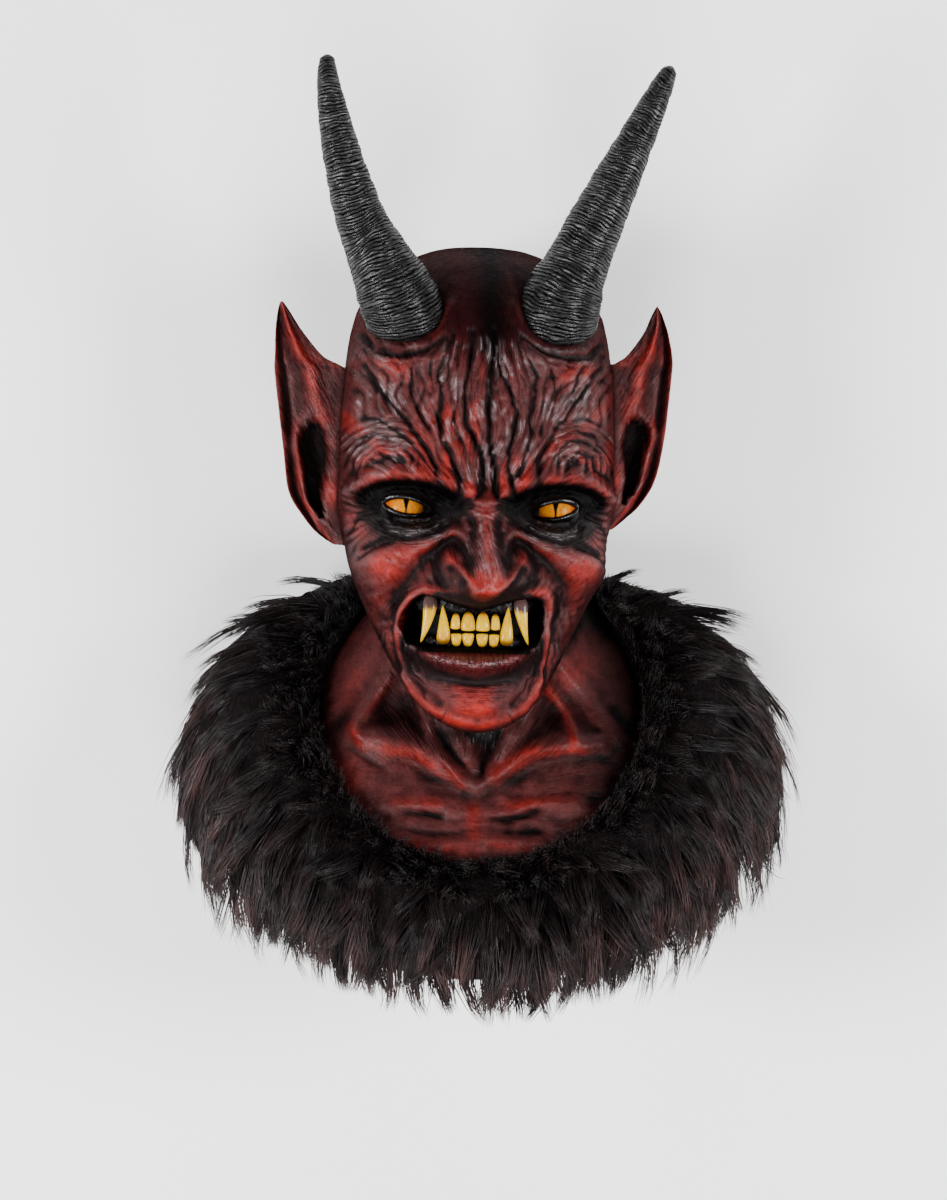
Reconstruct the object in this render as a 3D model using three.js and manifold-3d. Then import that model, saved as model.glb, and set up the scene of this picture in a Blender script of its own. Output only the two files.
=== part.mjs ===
// An over-the-head devil mask: a hollow cast latex skin with two horns, glossy eyes, two rows of teeth
// and a collar of long-pile faux fur. It lies on its back, face up. Lengths are in millimetres.
// +X is the wearer's left, +Y runs from chin to crown, and +Z is up, out of the face.

import * as THREE from "three";
import { mergeVertices } from "three/addons/utils/BufferGeometryUtils.js";
import Module from "manifold-3d";

const wasm = await Module();
wasm.setup();

// Driving sizes
const WALL = 3.5; // thickness of the cast skin
const GAP = 0.3; // between two pieces that touch
const CENTRE = [0, 45.7, 0]; // middle of the base of the whole mask, in the sculptor's frame below
const HEAD_PIVOT = [0, 60, 110]; // the head turns a little on the neck about this point
const HEAD_SHIFT = -4;
const HEAD_YAW = THREE.MathUtils.degToRad(3);
const HEAD_ROLL = THREE.MathUtils.degToRad(-1.5);

// The head from crown to chin: height, half width, and the depths of its widest line, its front and its
// back, then how many rows of faces lead down to the next level.
const HEAD_LEVELS = [
  [226, 0, 106, 106, 106, 1],
  [223, 28, 107, 130, 84, 1],
  [214, 51, 108, 152, 60, 1],
  [202, 66, 110, 169, 40, 2],
  [188, 76, 111, 183, 24, 2],
  [170, 82, 112, 195, 8, 3],
  [148, 85, 113, 205, -4, 3],
  [120, 87, 115, 212, -9, 3],
  [94, 88, 117, 216, -9, 3],
  [74, 88, 119, 216, -4, 3],
  [58, 88, 121, 214, 6, 3],
  [42, 85, 124, 212, 16, 3],
  [22, 80, 128, 212, 28, 3],
  [2, 73, 133, 212, 46, 3],
  [-14, 66, 140, 213, 66, 3],
  [-30, 58, 148, 214, 88, 2],
  [-45, 50, 157, 214, 110, 2],
  [-59, 40, 168, 214, 134, 2],
  [-71, 27, 181, 212, 158, 1],
  [-79, 14, 192, 207, 176, 1],
  [-82, 0, 196, 196, 196, 0],
];
const HEAD_COLUMNS = 42;
const FACE_CROWDING = 0.42; // 1 spaces the columns evenly, less crowds them on the face
const FRONT_BLUNTNESS = 0.92; // under 1 squares the face off a little
const FACE_EDGE = [-0.1, 0.4]; // the face's relief fades out between these cosines of the turn
const RELIEF_LEAN = 0.7; // how much the relief stands out sideways at the sides
const LEAST_AHEAD = 0.25;
const HOLLOW = { columns: 22, detail: 0.42, chestColumns: 18, chestRows: 15 }; // grids of the inside

// The neck, shoulders and chest as rings: height and depth in front, then half width, height and depth
// at the side, then height and depth behind. The skin ends at the hem, and the collar reaches past it.
const DRAPE_RINGS = [
  [20, 150, 60, 25, 92, 35, 34],
  [-30, 148, 68, 0, 90, 20, 30],
  [-70, 146, 82, -24, 86, 8, 27],
  [-105, 160, 106, -44, 80, -8, 25],
  [-145, 176, 135, -63, 73, -30, 24],
  [-188, 186, 162, -90, 66, -62, 24],
  [-226, 190, 180, -124, 60, -104, 23],
];
const HEM = 5; // the ring where the skin ends
const DRAPE_COLUMNS = 36;
const DRAPE_ROWS = 12;
const HEM_REACH = 0.077; // rings that the hem moves on by for each millimetre that the drape grows
const CHEST_FADE = { turn: 0.5, top: [0.5, 1.5], bottom: [4.2, 4.7] }; // where the chest's relief fades out

// Folds of the face as [path of points (side, height), width, rise], the same on both sides
const FACE_FOLDS = [
  [[[5, 60], [16, 67], [30, 73], [46, 76], [64, 74], [80, 66]], 7.5, 9], // brow
  [[[10, 66], [14, 80], [24, 98]], 6, 4.5], // frown beside the middle
  [[[0, 66], [0, 130]], 4.5, -3.5], // middle furrow
  [[[56, 94], [66, 95], [78, 87]], 6, 3], // arched folds over the outer brow
  [[[28, 152], [50, 142], [70, 150]], 6.5, 4], // skin rolled up below the horn
  [[[18, 41], [34, 35], [50, 31], [64, 25]], 6.5, 4], // top of the cheek
  [[[20, 37], [34, 26], [46, 12], [53, -4], [54, -22], [46, -42]], 6, -6], // snarl crease
  [[[34, -29], [20, -37], [0, -40]], 6.5, 11], // lower lip
  [[[28, -50], [0, -53]], 5, -4], // under the lip
];
// Rounded swellings and hollows of the face as [side, height, half width, half height, rise]
const FACE_MASSES = [
  [46, 54, 28, 15, -16], // eye socket
  [46, 41, 20, 6, 6], // bag under the eye
  [58, 19, 24, 15, 9], // cheek
  [60, -14, 14, 20, -4],
  [0, 18, 30, 26, 10], // middle of the face
  [18, 13, 9, 11, 12], // nostril wing
  [0, -16, 46, 34, 6], // muzzle
  [0, -64, 22, 12, 8], // chin
  [82, 84, 12, 22, -3], // temple
];
const NOSE = [ // height, half width, rise of the bridge
  [68, 8, 0],
  [54, 9, 10],
  [40, 11, 20],
  [26, 13, 28],
  [12, 14, 34],
  [4, 13, 34],
  [-2, 12, 20],
  [-8, 11, 0],
];
const MOUTH = { height: -15, halfWidth: 47, halfHeight: 18, depth: 22, droop: 0.003 };
const EYE = { side: 46, height: 57, depth: 170, radius: 17, halfWidth: 15, halfHeight: 6.5, recess: 9 };
const OVAL = { power: 2.6, inside: 0.7, outside: 1.35 }; // how square an opening is and how soft its edge
const BRIDGE_POWER = 2.2; // how flat the bridge of the nose is on top
// Forehead folds that fan out from between the brows
const FAN = { height: 44, from: [20, 40], to: [80, 106], turn: [0.9, 1.2], folds: 15, rise: 2.2 };
// The snarl pulls the middle of the face to one side: height, then how far
const MIDLINE = [
  [100, 0],
  [56, 0],
  [34, 2],
  [12, 3],
  [0, 0],
  [-14, -3],
  [-42, -3],
  [-80, 0],
];

// Folds of the neck and chest as [path of points (side, height), width, rise], wearer's left then right
const CHEST_FOLDS = [
  [[[9, -110], [32, -95], [52, -88], [76, -90]], 6, 7], // collarbones
  [[[-3, -115], [-26, -98], [-50, -87], [-78, -84]], 6, 7],
  [[[8, -106], [24, -82], [38, -50]], 6, 6], // neck tendons
  [[[-4, -106], [-18, -82], [-36, -50]], 6, 6],
  [[[50, -40], [66, -62], [84, -86]], 6, 4], // edges of the shoulder muscle
  [[[-52, -38], [-66, -58], [-82, -84]], 6, 4],
  [[[16, -132], [40, -127], [60, -128]], 4, 3], // breastbone wrinkles
  [[[-14, -131], [-40, -127], [-62, -128]], 4, 3],
  [[[-24, -152], [6, -149], [40, -154]], 4, 2.5],
];
const CHEST_MASSES = [ // [x, y, half width, half height, rise]
  [48, -70, 17, 13, -9],
  [-48, -69, 17, 13, -9],
  [2, -92, 9, 16, -5],
];

// Each ear from lobe to tip: height, then where the inner and the outer edge lie
const EARS = {
  left: [
    [46, 80, 87],
    [54, 77, 96],
    [64, 76, 106],
    [80, 76, 115],
    [105, 76, 120],
    [125, 77, 122],
    [148, 81, 124],
    [158, 94, 124],
    [173, 105, 121],
    [185, 110, 117],
    [191, 113, 114],
  ],
  right: [
    [32, 82, 88],
    [40, 78, 100],
    [50, 77, 109],
    [66, 76, 119],
    [92, 76, 123],
    [120, 77, 127],
    [143, 83, 130],
    [152, 99, 130],
    [168, 113, 130],
    [180, 121, 129],
    [187, 126, 127.5],
  ],
};
// The forms inside an ear lie at shares of its width from the inner edge and of its height from the lobe
const EAR = {
  depth: 120,
  sweep: 7, // how far the outer edge is swept back
  thickness: 8,
  hole: { across: 0.6, up: 0.36, halfWidth: 0.26, halfHeight: 0.14, deep: 12 },
  flap: { across: 0.12, up: 0.24, halfWidth: 0.16, halfHeight: 0.06, rise: 5 },
  innerFold: { across: 0.3, halfWidth: 0.22, rise: 5 },
  groove: { across: 0.75, halfWidth: 0.13, deep: 4 },
  rim: { across: 0.88, rise: 2 },
  columns: 12,
  rows: 9,
};

// Each horn: points (x, y, z) up its middle line with the radius there
const HORNS = {
  horn_left: [
    [46, 160, 138, 25],
    [48, 191, 157, 23.5],
    [55, 212, 164, 21],
    [67, 239, 168, 17.5],
    [84, 281, 168, 12.8],
    [103, 316, 164, 8.2],
    [113, 334, 160, 4.5],
  ],
  horn_right: [
    [-45, 158, 138, 25],
    [-54, 190, 157, 23.5],
    [-63, 212, 164, 20.5],
    [-75, 238, 167, 16.6],
    [-90, 278, 168, 12.4],
    [-101, 318, 164, 8],
    [-104, 336, 160, 4.5],
  ],
};
const HORN_SIDES = 11;
const HORN_ROWS = 13;
const HORN_TIP = 0.035; // share of the length that the rounded tip takes

// The teeth: side, height of the root, height of the tip, half width at the root, outward lean of the tip
const UPPER_TEETH = [
  [4.6, -7, -19.3, 4.2, 0],
  [12.4, -8, -18.8, 3.1, 0],
  [27.5, 2, -27, 4.8, 5.5],
];
const LOWER_TEETH = [
  [4.4, -29, -19.9, 3.7, 0],
  [11.8, -29, -19.9, 3.5, 0],
  [19.2, -28, -3.5, 4.8, 1],
];
const ARCH = { front: 213, curve: 0.0075 }; // the curved line that the teeth stand on
const TOOTH = { fangLength: 15, fangTaper: 0.92, taper: 0.25, depth: 0.8, columns: 7, rows: 5 };
const GUM = { inset: 5, halfDepth: 4, columns: 6, rows: 10 };
const UPPER_GUM = { from: -10, to: 4, halfLength: 36 };
const LOWER_GUM = { from: -31, to: -21, halfLength: 30 };

// The collar of fur: where it starts and ends on the drape and how deep its pile stands, each in front, at
// the side and behind, then its locks
const COLLAR = {
  start: [4.45, 2.5, 1.2],
  end: [6.62, 6.5, 5.9],
  pile: [32, 45, 38],
  tipPile: 7,
  locks: 24,
  lockRise: 5,
  lockReach: 0.16,
  sink: 2, // how far it lies in below the skin's surface before it is cut
  full: [0.3, 0.45], // it is at full depth between these shares of its width
  columns: 48,
  sides: 10,
};

// Small helpers
const clamp = (x, low, high) => Math.min(high, Math.max(low, x));
const smooth = (from, to, x) => {
  const t = clamp((x - from) / (to - from), 0, 1);
  return t * t * (3 - 2 * t);
};
const bell = (d) => Math.exp(-d * d);

// A smooth curve through rows of numbers, at t rows from the first.
function along(rows, t) {
  const last = rows.length - 1;
  const i = clamp(Math.floor(t), 0, last - 1);
  const f = t - i;
  const [a, b, c, d] = [i - 1, i, i + 1, i + 2].map((k) => rows[clamp(k, 0, last)]);
  return b.map((_, k) => {
    const pull = 2 * a[k] - 5 * b[k] + 4 * c[k] - d[k];
    const bend = 3 * b[k] - a[k] - 3 * c[k] + d[k];
    return 0.5 * (2 * b[k] + (c[k] - a[k]) * f + pull * f * f + bend * f * f * f);
  });
}

// The same curve read at a height, for rows that start with falling or rising heights.
function atHeight(rows, y) {
  const rising = rows[rows.length - 1][0] > rows[0][0] ? 1 : -1;
  let i = 1;
  while (i < rows.length - 1 && (rows[i][0] - y) * rising < 0) i++;
  const f = clamp((y - rows[i - 1][0]) / (rows[i][0] - rows[i - 1][0]), 0, 1);
  return along(rows, i - 1 + f);
}

// How near (x, y) is to a path: 1 on it, falling to 0.
function near(x, y, path, width) {
  let best = Infinity;
  for (let i = 1; i < path.length; i++) {
    const [ax, ay] = path[i - 1];
    const [dx, dy] = [path[i][0] - ax, path[i][1] - ay];
    const t = clamp(((x - ax) * dx + (y - ay) * dy) / (dx * dx + dy * dy), 0, 1);
    best = Math.min(best, Math.hypot(x - ax - t * dx, y - ay - t * dy));
  }
  return bell(best / width);
}

// How far folds stand out at x, y: where ridges meet the highest counts, and where furrows meet the lowest.
function foldsAt(x, y, folds) {
  const rises = folds.map(([path, width, rise]) => rise * near(x, y, path, width));
  return Math.max(0, ...rises) + Math.min(0, ...rises);
}

// How far rounded swellings and hollows stand out at x, y.
const massesAt = (x, y, masses) =>
  masses
    .map(([cx, cy, rx, ry, rise]) => rise * bell(Math.hypot((x - cx) / rx, (y - cy) / ry)))
    .reduce((sum, rise) => sum + rise, 0);

// 1 well inside a squared oval, 0 outside it.
function inOval(dx, dy, halfWidth, halfHeight) {
  const m = Math.abs(dx / halfWidth) ** OVAL.power + Math.abs(dy / halfHeight) ** OVAL.power;
  return 1 - smooth(OVAL.inside, OVAL.outside, m);
}

// How far the face stands out from the plain head at x, y.
function faceRelief(x, y) {
  const across = x - atHeight(MIDLINE, y)[1];
  const side = Math.abs(across);
  const [, noseWidth, noseRise] = atHeight(NOSE, clamp(y, NOSE[NOSE.length - 1][0], NOSE[0][0]));
  let rise = foldsAt(side, y, FACE_FOLDS) + massesAt(side, y, FACE_MASSES);
  rise += noseRise * Math.exp(-((side / noseWidth) ** BRIDGE_POWER));
  const reach = Math.hypot(across, y - FAN.height);
  const turn = Math.atan2(across, y - FAN.height);
  const fanned = smooth(...FAN.from, reach) * (1 - smooth(...FAN.to, reach));
  rise += FAN.rise * fanned * (1 - smooth(...FAN.turn, Math.abs(turn))) * Math.cos(turn * FAN.folds);
  const belowLip = y - MOUTH.height + MOUTH.droop * across * across;
  rise -= MOUTH.depth * inOval(across, belowLip, MOUTH.halfWidth, MOUTH.halfHeight);
  rise -= EYE.recess * inOval(side - EYE.side, y - EYE.height, EYE.halfWidth, EYE.halfHeight);
  return rise;
}

// How far the neck and chest stand out at x, y.
const chestRelief = (x, y) => foldsAt(x, y, CHEST_FOLDS) + massesAt(x, y, CHEST_MASSES);

const NEIGHBOURS = [[0, 0], [8, 0], [-8, 0], [0, 8], [0, -8], [6, 6], [-6, 6], [6, -6], [-6, -6]];
// The lowest that a relief lies around x, y, so that the hollow behind it never comes through.
const behind = (relief) => (x, y) => Math.min(...NEIGHBOURS.map(([dx, dy]) => relief(x + dx, y + dy)));

// A relief with its edges eased over a share of the same distance, so that broad faces follow it well.
const EASE = 0.4;
const CLOSEST = NEIGHBOURS.slice(0, 5);
const eased = (relief) => (x, y) =>
  CLOSEST.reduce((sum, [dx, dy]) => sum + relief(x + dx * EASE, y + dy * EASE), 0) / CLOSEST.length;

// A number that goes smoothly from front to side to back round a ring.
const round = (front, side, back, a) =>
  (front + back) / 4 + side / 2 + ((front - back) / 2) * Math.cos(a) +
  ((front + back) / 4 - side / 2) * Math.cos(2 * a);

// The head's surface: a is the turn from straight ahead, t counts levels down from the crown. The face
// stands out straight ahead in front, so each feature keeps its place there, and sideways at the sides.
function headPoint(a, t, relief) {
  const [y, width, middle, front, back] = along(HEAD_LEVELS, t);
  const ahead = Math.cos(a);
  const aside = Math.sin(a);
  const x = width * Math.sign(aside) * Math.abs(aside) ** (ahead > 0 ? FRONT_BLUNTNESS : 1);
  const z = middle + ahead * (ahead > 0 ? front - middle : middle - back);
  const out = new THREE.Vector3(RELIEF_LEAN * aside ** 3, 0, Math.max(ahead, LEAST_AHEAD)).normalize();
  return new THREE.Vector3(x, y, z).addScaledVector(out, smooth(...FACE_EDGE, ahead) * relief(x, y));
}

// The shoulders' surface: s counts rings down from the top of the neck.
function drapePoint(a, s, relief) {
  const last = DRAPE_RINGS.length - 1;
  const ring = along(DRAPE_RINGS, Math.min(s, last));
  const step = 0.25;
  if (s > last) {
    const before = along(DRAPE_RINGS, last - step);
    ring.forEach((value, k) => (ring[k] = value + ((value - before[k]) * (s - last)) / step));
  }
  const [frontY, frontZ, width, sideY, sideZ, backY, backZ] = ring;
  const x = width * Math.sin(a);
  const y = round(frontY, sideY, backY, a);
  const z = round(frontZ, sideZ, backZ, a);
  const shown = smooth(...CHEST_FADE.top, s) * (1 - smooth(...CHEST_FADE.bottom, s));
  return new THREE.Vector3(x, y, z + smooth(0, CHEST_FADE.turn, Math.cos(a)) * shown * relief(x, y));
}

// The same surface moved outwards along its normal, or inwards if by is negative.
function offset(surface, a, t, relief, by) {
  const step = 0.02;
  const at = surface(a, t, relief);
  const across = surface(a + step, t, relief).sub(surface(a - step, t, relief));
  const down = surface(a, t + step, relief).sub(surface(a, t - step, relief));
  return at.addScaledVector(down.cross(across).normalize(), by);
}

// A closed grid whose vertices are put where pointAt(turn, share from top to bottom, row) says. The turn
// is measured from straight ahead, and the first and the last row close to their middle.
function closedGrid(columns, rows, pointAt, crowding = 1) {
  const grid = new THREE.SphereGeometry(1, columns, rows);
  const { position, uv } = grid.attributes;
  const turns = Array.from({ length: columns + 1 }, (_, column) => {
    const ahead = 2 * (column / columns - 0.25);
    const wrapped = ahead >= 1 ? ahead - 2 : ahead;
    return Math.PI * (crowding * wrapped + (1 - crowding) * wrapped ** 3);
  });
  const middle = (row) =>
    turns
      .slice(1)
      .reduce((sum, turn) => sum.add(pointAt(turn, row / rows, row)), new THREE.Vector3())
      .divideScalar(columns);
  const ends = { 0: middle(0), [rows]: middle(rows) };
  for (let i = 0; i < position.count; i++) {
    const row = Math.round((1 - uv.getY(i)) * rows);
    const turn = turns[clamp(Math.round(uv.getX(i) * columns), 0, columns)];
    const p = ends[row] ?? pointAt(turn, row / rows, row);
    position.setXYZ(i, p.x, p.y, p.z);
  }
  return grid;
}

// A geometry as a solid that can be joined and cut.
function solid(geometry) {
  const bare = geometry.clone();
  bare.deleteAttribute("normal");
  bare.deleteAttribute("uv");
  const merged = mergeVertices(bare, 1e-3);
  const mesh = new wasm.Mesh({
    numProp: 3,
    vertProperties: merged.attributes.position.array,
    triVerts: new Uint32Array(merged.index.array),
  });
  return new wasm.Manifold(mesh);
}

// The largest of the pieces that a cut leaves.
const largest = (made) => made.decompose().sort((a, b) => b.volume() - a.volume())[0];

// A solid as a geometry again.
function geometryOf(made) {
  const { vertProperties, triVerts, numProp } = made.getMesh();
  const count = vertProperties.length / numProp;
  const position = new Float32Array(count * 3);
  for (let i = 0; i < count; i++) position.set(vertProperties.subarray(i * numProp, i * numProp + 3), i * 3);
  const geometry = new THREE.BufferGeometry();
  geometry.setAttribute("position", new THREE.BufferAttribute(position, 3));
  geometry.setIndex(new THREE.BufferAttribute(triVerts, 1));
  geometry.computeVertexNormals();
  return geometry;
}

// The place of each row of the head, in levels from the crown.
function levelRows(finer) {
  const rows = [];
  HEAD_LEVELS.forEach(([, , , , , count], level) => {
    const steps = Math.max(1, Math.round(count * finer));
    for (let k = 0; k < steps && level < HEAD_LEVELS.length - 1; k++) rows.push(level + k / steps);
  });
  return [...rows, HEAD_LEVELS.length - 1];
}

// The head, whole and closed, grown or shrunk by an offset.
function head(by, columns, finer, relief) {
  const levels = levelRows(finer);
  const last = levels.length - 1;
  const pointAt = (turn, share, row) => {
    if (row > 0 && row < last) return offset(headPoint, turn, levels[row], relief, by);
    const end = headPoint(0, levels[row], () => 0);
    return end.setY(end.y + (row === 0 ? by : -by));
  };
  return closedGrid(columns, last, pointAt, FACE_CROWDING);
}

// The neck and shoulders, closed by a cap at each end, down to ring end.
function drape(by, columns, rows, end, relief) {
  const pointAt = (turn, share, row) => {
    const s = clamp((row - 1) / (rows - 2), 0, 1) * end + (row >= rows - 1 ? by * HEM_REACH : 0);
    return offset(drapePoint, turn, s, relief, by);
  };
  return closedGrid(columns, rows, pointAt);
}

// One ear, cupped to the front: side is 1 on the wearer's left and -1 on the right.
function ear(levels, side) {
  const { hole, flap, innerFold, groove, rim } = EAR;
  const spot = (form, across, up) =>
    bell(Math.hypot((across - form.across) / form.halfWidth, (up - form.up) / form.halfHeight));
  const pointAt = (turn, share) => {
    const up = 1 - share;
    const [y, inner, outer] = along(levels, up * (levels.length - 1));
    const across = 0.5 + 0.5 * Math.sin(turn) * side;
    const x = inner + (outer - inner) * across;
    const closing = smooth(0, 0.18, share) * smooth(0, 0.1, up);
    const sunk = spot(hole, across, up);
    let z = EAR.depth - EAR.sweep * across ** 2;
    if (Math.cos(turn) > 0) {
      z += innerFold.rise * bell((across - innerFold.across) / innerFold.halfWidth) * smooth(0.25, 0.55, up);
      z -= groove.deep * bell((across - groove.across) / groove.halfWidth) * closing;
      z += rim.rise * smooth(rim.across, 1, across) * closing;
      z -= hole.deep * sunk;
      z += flap.rise * spot(flap, across, up);
    } else {
      z -= (EAR.thickness + 8 * sunk) * Math.max(closing, 0.35);
    }
    return new THREE.Vector3(side * x, y, z);
  };
  return closedGrid(EAR.columns, EAR.rows, pointAt);
}

// One horn along its middle line, before it is cut to the skull.
function horn(line) {
  const middle = new THREE.CatmullRomCurve3(line.map(([x, y, z]) => new THREE.Vector3(x, y, z)));
  const pointAt = (turn, share) => {
    const place = 1 - share;
    const at = middle.getPoint(place);
    const [, , , radius] = along(line, place * (line.length - 1));
    const up = middle.getTangent(place);
    const sideways = new THREE.Vector3(1, 0, 0).addScaledVector(up, -up.x).normalize();
    const ahead = new THREE.Vector3().crossVectors(sideways, up);
    const closing = share < HORN_TIP ? Math.sqrt(share / HORN_TIP) : share === 1 ? 0 : 1;
    return at
      .addScaledVector(sideways, radius * closing * Math.sin(turn))
      .addScaledVector(ahead, radius * closing * Math.cos(turn));
  };
  return closedGrid(HORN_SIDES, HORN_ROWS, pointAt);
}

const archDepth = (x) => ARCH.front - ARCH.curve * x * x;

// One tooth from its root to its tip, tapered, with a fang's tip leaning outwards.
function tooth(x, [, root, tip, halfWidth, lean], side) {
  const fang = Math.abs(tip - root) > TOOTH.fangLength;
  const pointAt = (turn, share) => {
    const fromRoot = root > tip ? share : 1 - share;
    const y = root + (tip - root) * fromRoot;
    const taper = fang ? 1 - TOOTH.fangTaper * fromRoot ** 1.5 : 1 - TOOTH.taper * fromRoot ** 2;
    const closing = Math.sqrt(Math.max(0, 1 - (2 * fromRoot - 1) ** 8));
    const width = halfWidth * taper * closing;
    const swing = side * lean * fromRoot ** 2;
    const z = archDepth(x) + TOOTH.depth * width * Math.cos(turn);
    return new THREE.Vector3(x + swing + width * Math.sin(turn), y, z);
  };
  return closedGrid(TOOTH.columns, TOOTH.rows, pointAt);
}

// The strip of gum that a row of teeth is cast on.
function gum({ from, to, halfLength }) {
  const pointAt = (turn, share) => {
    const x = -halfLength + 2 * halfLength * share;
    const closing = Math.sqrt(Math.max(0, 1 - (2 * share - 1) ** 6));
    const y = (from + to) / 2 + ((to - from) / 2) * closing * Math.sin(turn);
    return new THREE.Vector3(x, y, archDepth(x) - GUM.inset + GUM.halfDepth * closing * Math.cos(turn));
  };
  return closedGrid(GUM.columns, GUM.rows, pointAt);
}

// A row of teeth on its gum, as one casting.
function teeth(rows, strip) {
  let made = solid(gum(strip));
  for (const row of rows)
    for (const side of [-1, 1]) made = made.add(solid(tooth(side * row[0], row, side)));
  return made.translate(atHeight(MIDLINE, MOUTH.height)[1], 0, 0);
}

// The collar: a ring of pile over the drape, thick in the middle and pointed at its locks.
function collar() {
  const { columns, sides } = COLLAR;
  const ring = new THREE.TorusGeometry(2, 1, sides, columns);
  const { position, uv } = ring.attributes;
  for (let i = 0; i < position.count; i++) {
    const column = Math.round(uv.getX(i) * columns) % columns;
    const side = Math.round(uv.getY(i) * sides) % sides;
    const a = (column / columns) * 2 * Math.PI;
    const lock = Math.cos((column / columns) * COLLAR.locks * 2 * Math.PI);
    const section = (side / sides) * 2 * Math.PI;
    const across = 0.5 - 0.5 * Math.cos(section); // 0 at the inner edge, 1 at the tips
    const above = side > sides / 2;
    const start = round(...COLLAR.start, a);
    const end = round(...COLLAR.end, a) + COLLAR.lockReach * lock;
    const s = start + (end - start) * across;
    const full = smooth(0, COLLAR.full[0], across) * (1 - smooth(COLLAR.full[1], 1, across));
    const deep = round(...COLLAR.pile, a) - COLLAR.tipPile;
    const pile = COLLAR.tipPile + deep * full + COLLAR.lockRise * lock * across;
    const p = offset(drapePoint, a, s, flat, above ? pile : -COLLAR.sink);
    position.setXYZ(i, p.x, p.y, Math.max(0, p.z));
  }
  return ring;
}

// The head's own turn on the neck.
const headTurn = new THREE.Matrix4()
  .makeTranslation(HEAD_SHIFT + HEAD_PIVOT[0], HEAD_PIVOT[1], HEAD_PIVOT[2])
  .multiply(new THREE.Matrix4().makeRotationZ(HEAD_ROLL))
  .multiply(new THREE.Matrix4().makeRotationY(HEAD_YAW))
  .multiply(new THREE.Matrix4().makeTranslation(...HEAD_PIVOT.map((v) => -v)));

// The head turned into place and flattened where it would lie below a level.
function placedHead(geometry, level) {
  const placed = geometry.clone().applyMatrix4(headTurn);
  const { position } = placed.attributes;
  for (let i = 0; i < position.count; i++) position.setZ(i, Math.max(level, position.getZ(i)));
  return solid(placed);
}

const flat = () => 0;
const face = eased(faceRelief);
const plainHead = head(0, HEAD_COLUMNS, 1, face);
const grownHead = solid(head(GAP, HEAD_COLUMNS, 1, face));
const hollowHead = head(-WALL, HOLLOW.columns, HOLLOW.detail, behind(faceRelief));

// The skin: head, ears, neck and chest as one casting, hollow and open at the hem.
function skin() {
  const outside = placedHead(plainHead, 0)
    .add(solid(ear(EARS.left, 1).applyMatrix4(headTurn)))
    .add(solid(ear(EARS.right, -1).applyMatrix4(headTurn)))
    .add(solid(drape(0, DRAPE_COLUMNS, DRAPE_ROWS, HEM, chestRelief)));
  const inside = placedHead(hollowHead, WALL).add(
    solid(drape(-WALL, HOLLOW.chestColumns, HOLLOW.chestRows, HEM + 1, behind(chestRelief)))
  );
  return outside.subtract(inside);
}

const FINISH = {
  skin: { color: 0x7a2420, roughness: 0.55 },
  horn: { color: 0x26272a, roughness: 0.5 },
  eye: { color: 0xe8a012, roughness: 0.1 },
  teeth: { color: 0xe0b030, roughness: 0.2 },
  fur: { color: 0x1a1416, roughness: 0.9 },
};

function piece(name, geometry, { color, roughness }) {
  const mesh = new THREE.Mesh(geometry, new THREE.MeshStandardMaterial({ color, roughness, metalness: 0 }));
  mesh.name = name;
  return mesh;
}

const mask = new THREE.Group();
mask.position.set(...CENTRE.map((v) => -v));

mask.add(piece("mask_skin", geometryOf(largest(skin())), FINISH.skin));
const bodyUnderCollar = solid(drape(GAP, DRAPE_COLUMNS, DRAPE_ROWS, HEM, chestRelief));
mask.add(piece("fur_collar", geometryOf(largest(solid(collar()).subtract(bodyUnderCollar))), FINISH.fur));

const headGroup = new THREE.Group();
headGroup.applyMatrix4(headTurn);
for (const [name, line] of Object.entries(HORNS))
  headGroup.add(piece(name, geometryOf(largest(solid(horn(line)).subtract(grownHead))), FINISH.horn));
for (const [name, side] of [["eye_left", 1], ["eye_right", -1]]) {
  const ball = new THREE.SphereGeometry(EYE.radius, 14, 10);
  ball.translate(side * EYE.side, EYE.height, EYE.depth);
  headGroup.add(piece(name, geometryOf(largest(solid(ball).subtract(grownHead))), FINISH.eye));
}
const UPPER = ["upper_teeth", UPPER_TEETH, UPPER_GUM];
const LOWER = ["lower_teeth", LOWER_TEETH, LOWER_GUM];
for (const [name, rows, strip] of [UPPER, LOWER])
  headGroup.add(piece(name, geometryOf(largest(teeth(rows, strip).subtract(grownHead))), FINISH.teeth));
mask.add(headGroup);

export default mask;
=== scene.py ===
import math

import bpy
import numpy as np
from mathutils import Matrix, Vector


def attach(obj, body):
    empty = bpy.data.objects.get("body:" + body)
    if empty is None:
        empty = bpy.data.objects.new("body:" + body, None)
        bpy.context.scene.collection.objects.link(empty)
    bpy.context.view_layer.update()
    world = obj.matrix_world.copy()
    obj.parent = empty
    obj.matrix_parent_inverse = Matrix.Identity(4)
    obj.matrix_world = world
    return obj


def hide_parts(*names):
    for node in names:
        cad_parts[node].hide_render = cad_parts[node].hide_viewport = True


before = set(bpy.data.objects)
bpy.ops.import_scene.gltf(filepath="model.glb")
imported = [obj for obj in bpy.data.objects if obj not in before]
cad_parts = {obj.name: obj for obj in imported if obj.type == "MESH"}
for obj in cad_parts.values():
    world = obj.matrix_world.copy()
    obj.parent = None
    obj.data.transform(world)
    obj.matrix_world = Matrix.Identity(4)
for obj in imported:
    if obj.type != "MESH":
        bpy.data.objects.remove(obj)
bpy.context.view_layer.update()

CENTRE = np.array([0.0, 45.7, 0.0])
WALL = 3.5
HEAD_PIVOT = np.array([0.0, 60.0, 110.0])
HEAD_SHIFT = -4.0
HEAD_YAW = math.radians(3)
HEAD_ROLL = math.radians(-1.5)

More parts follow.
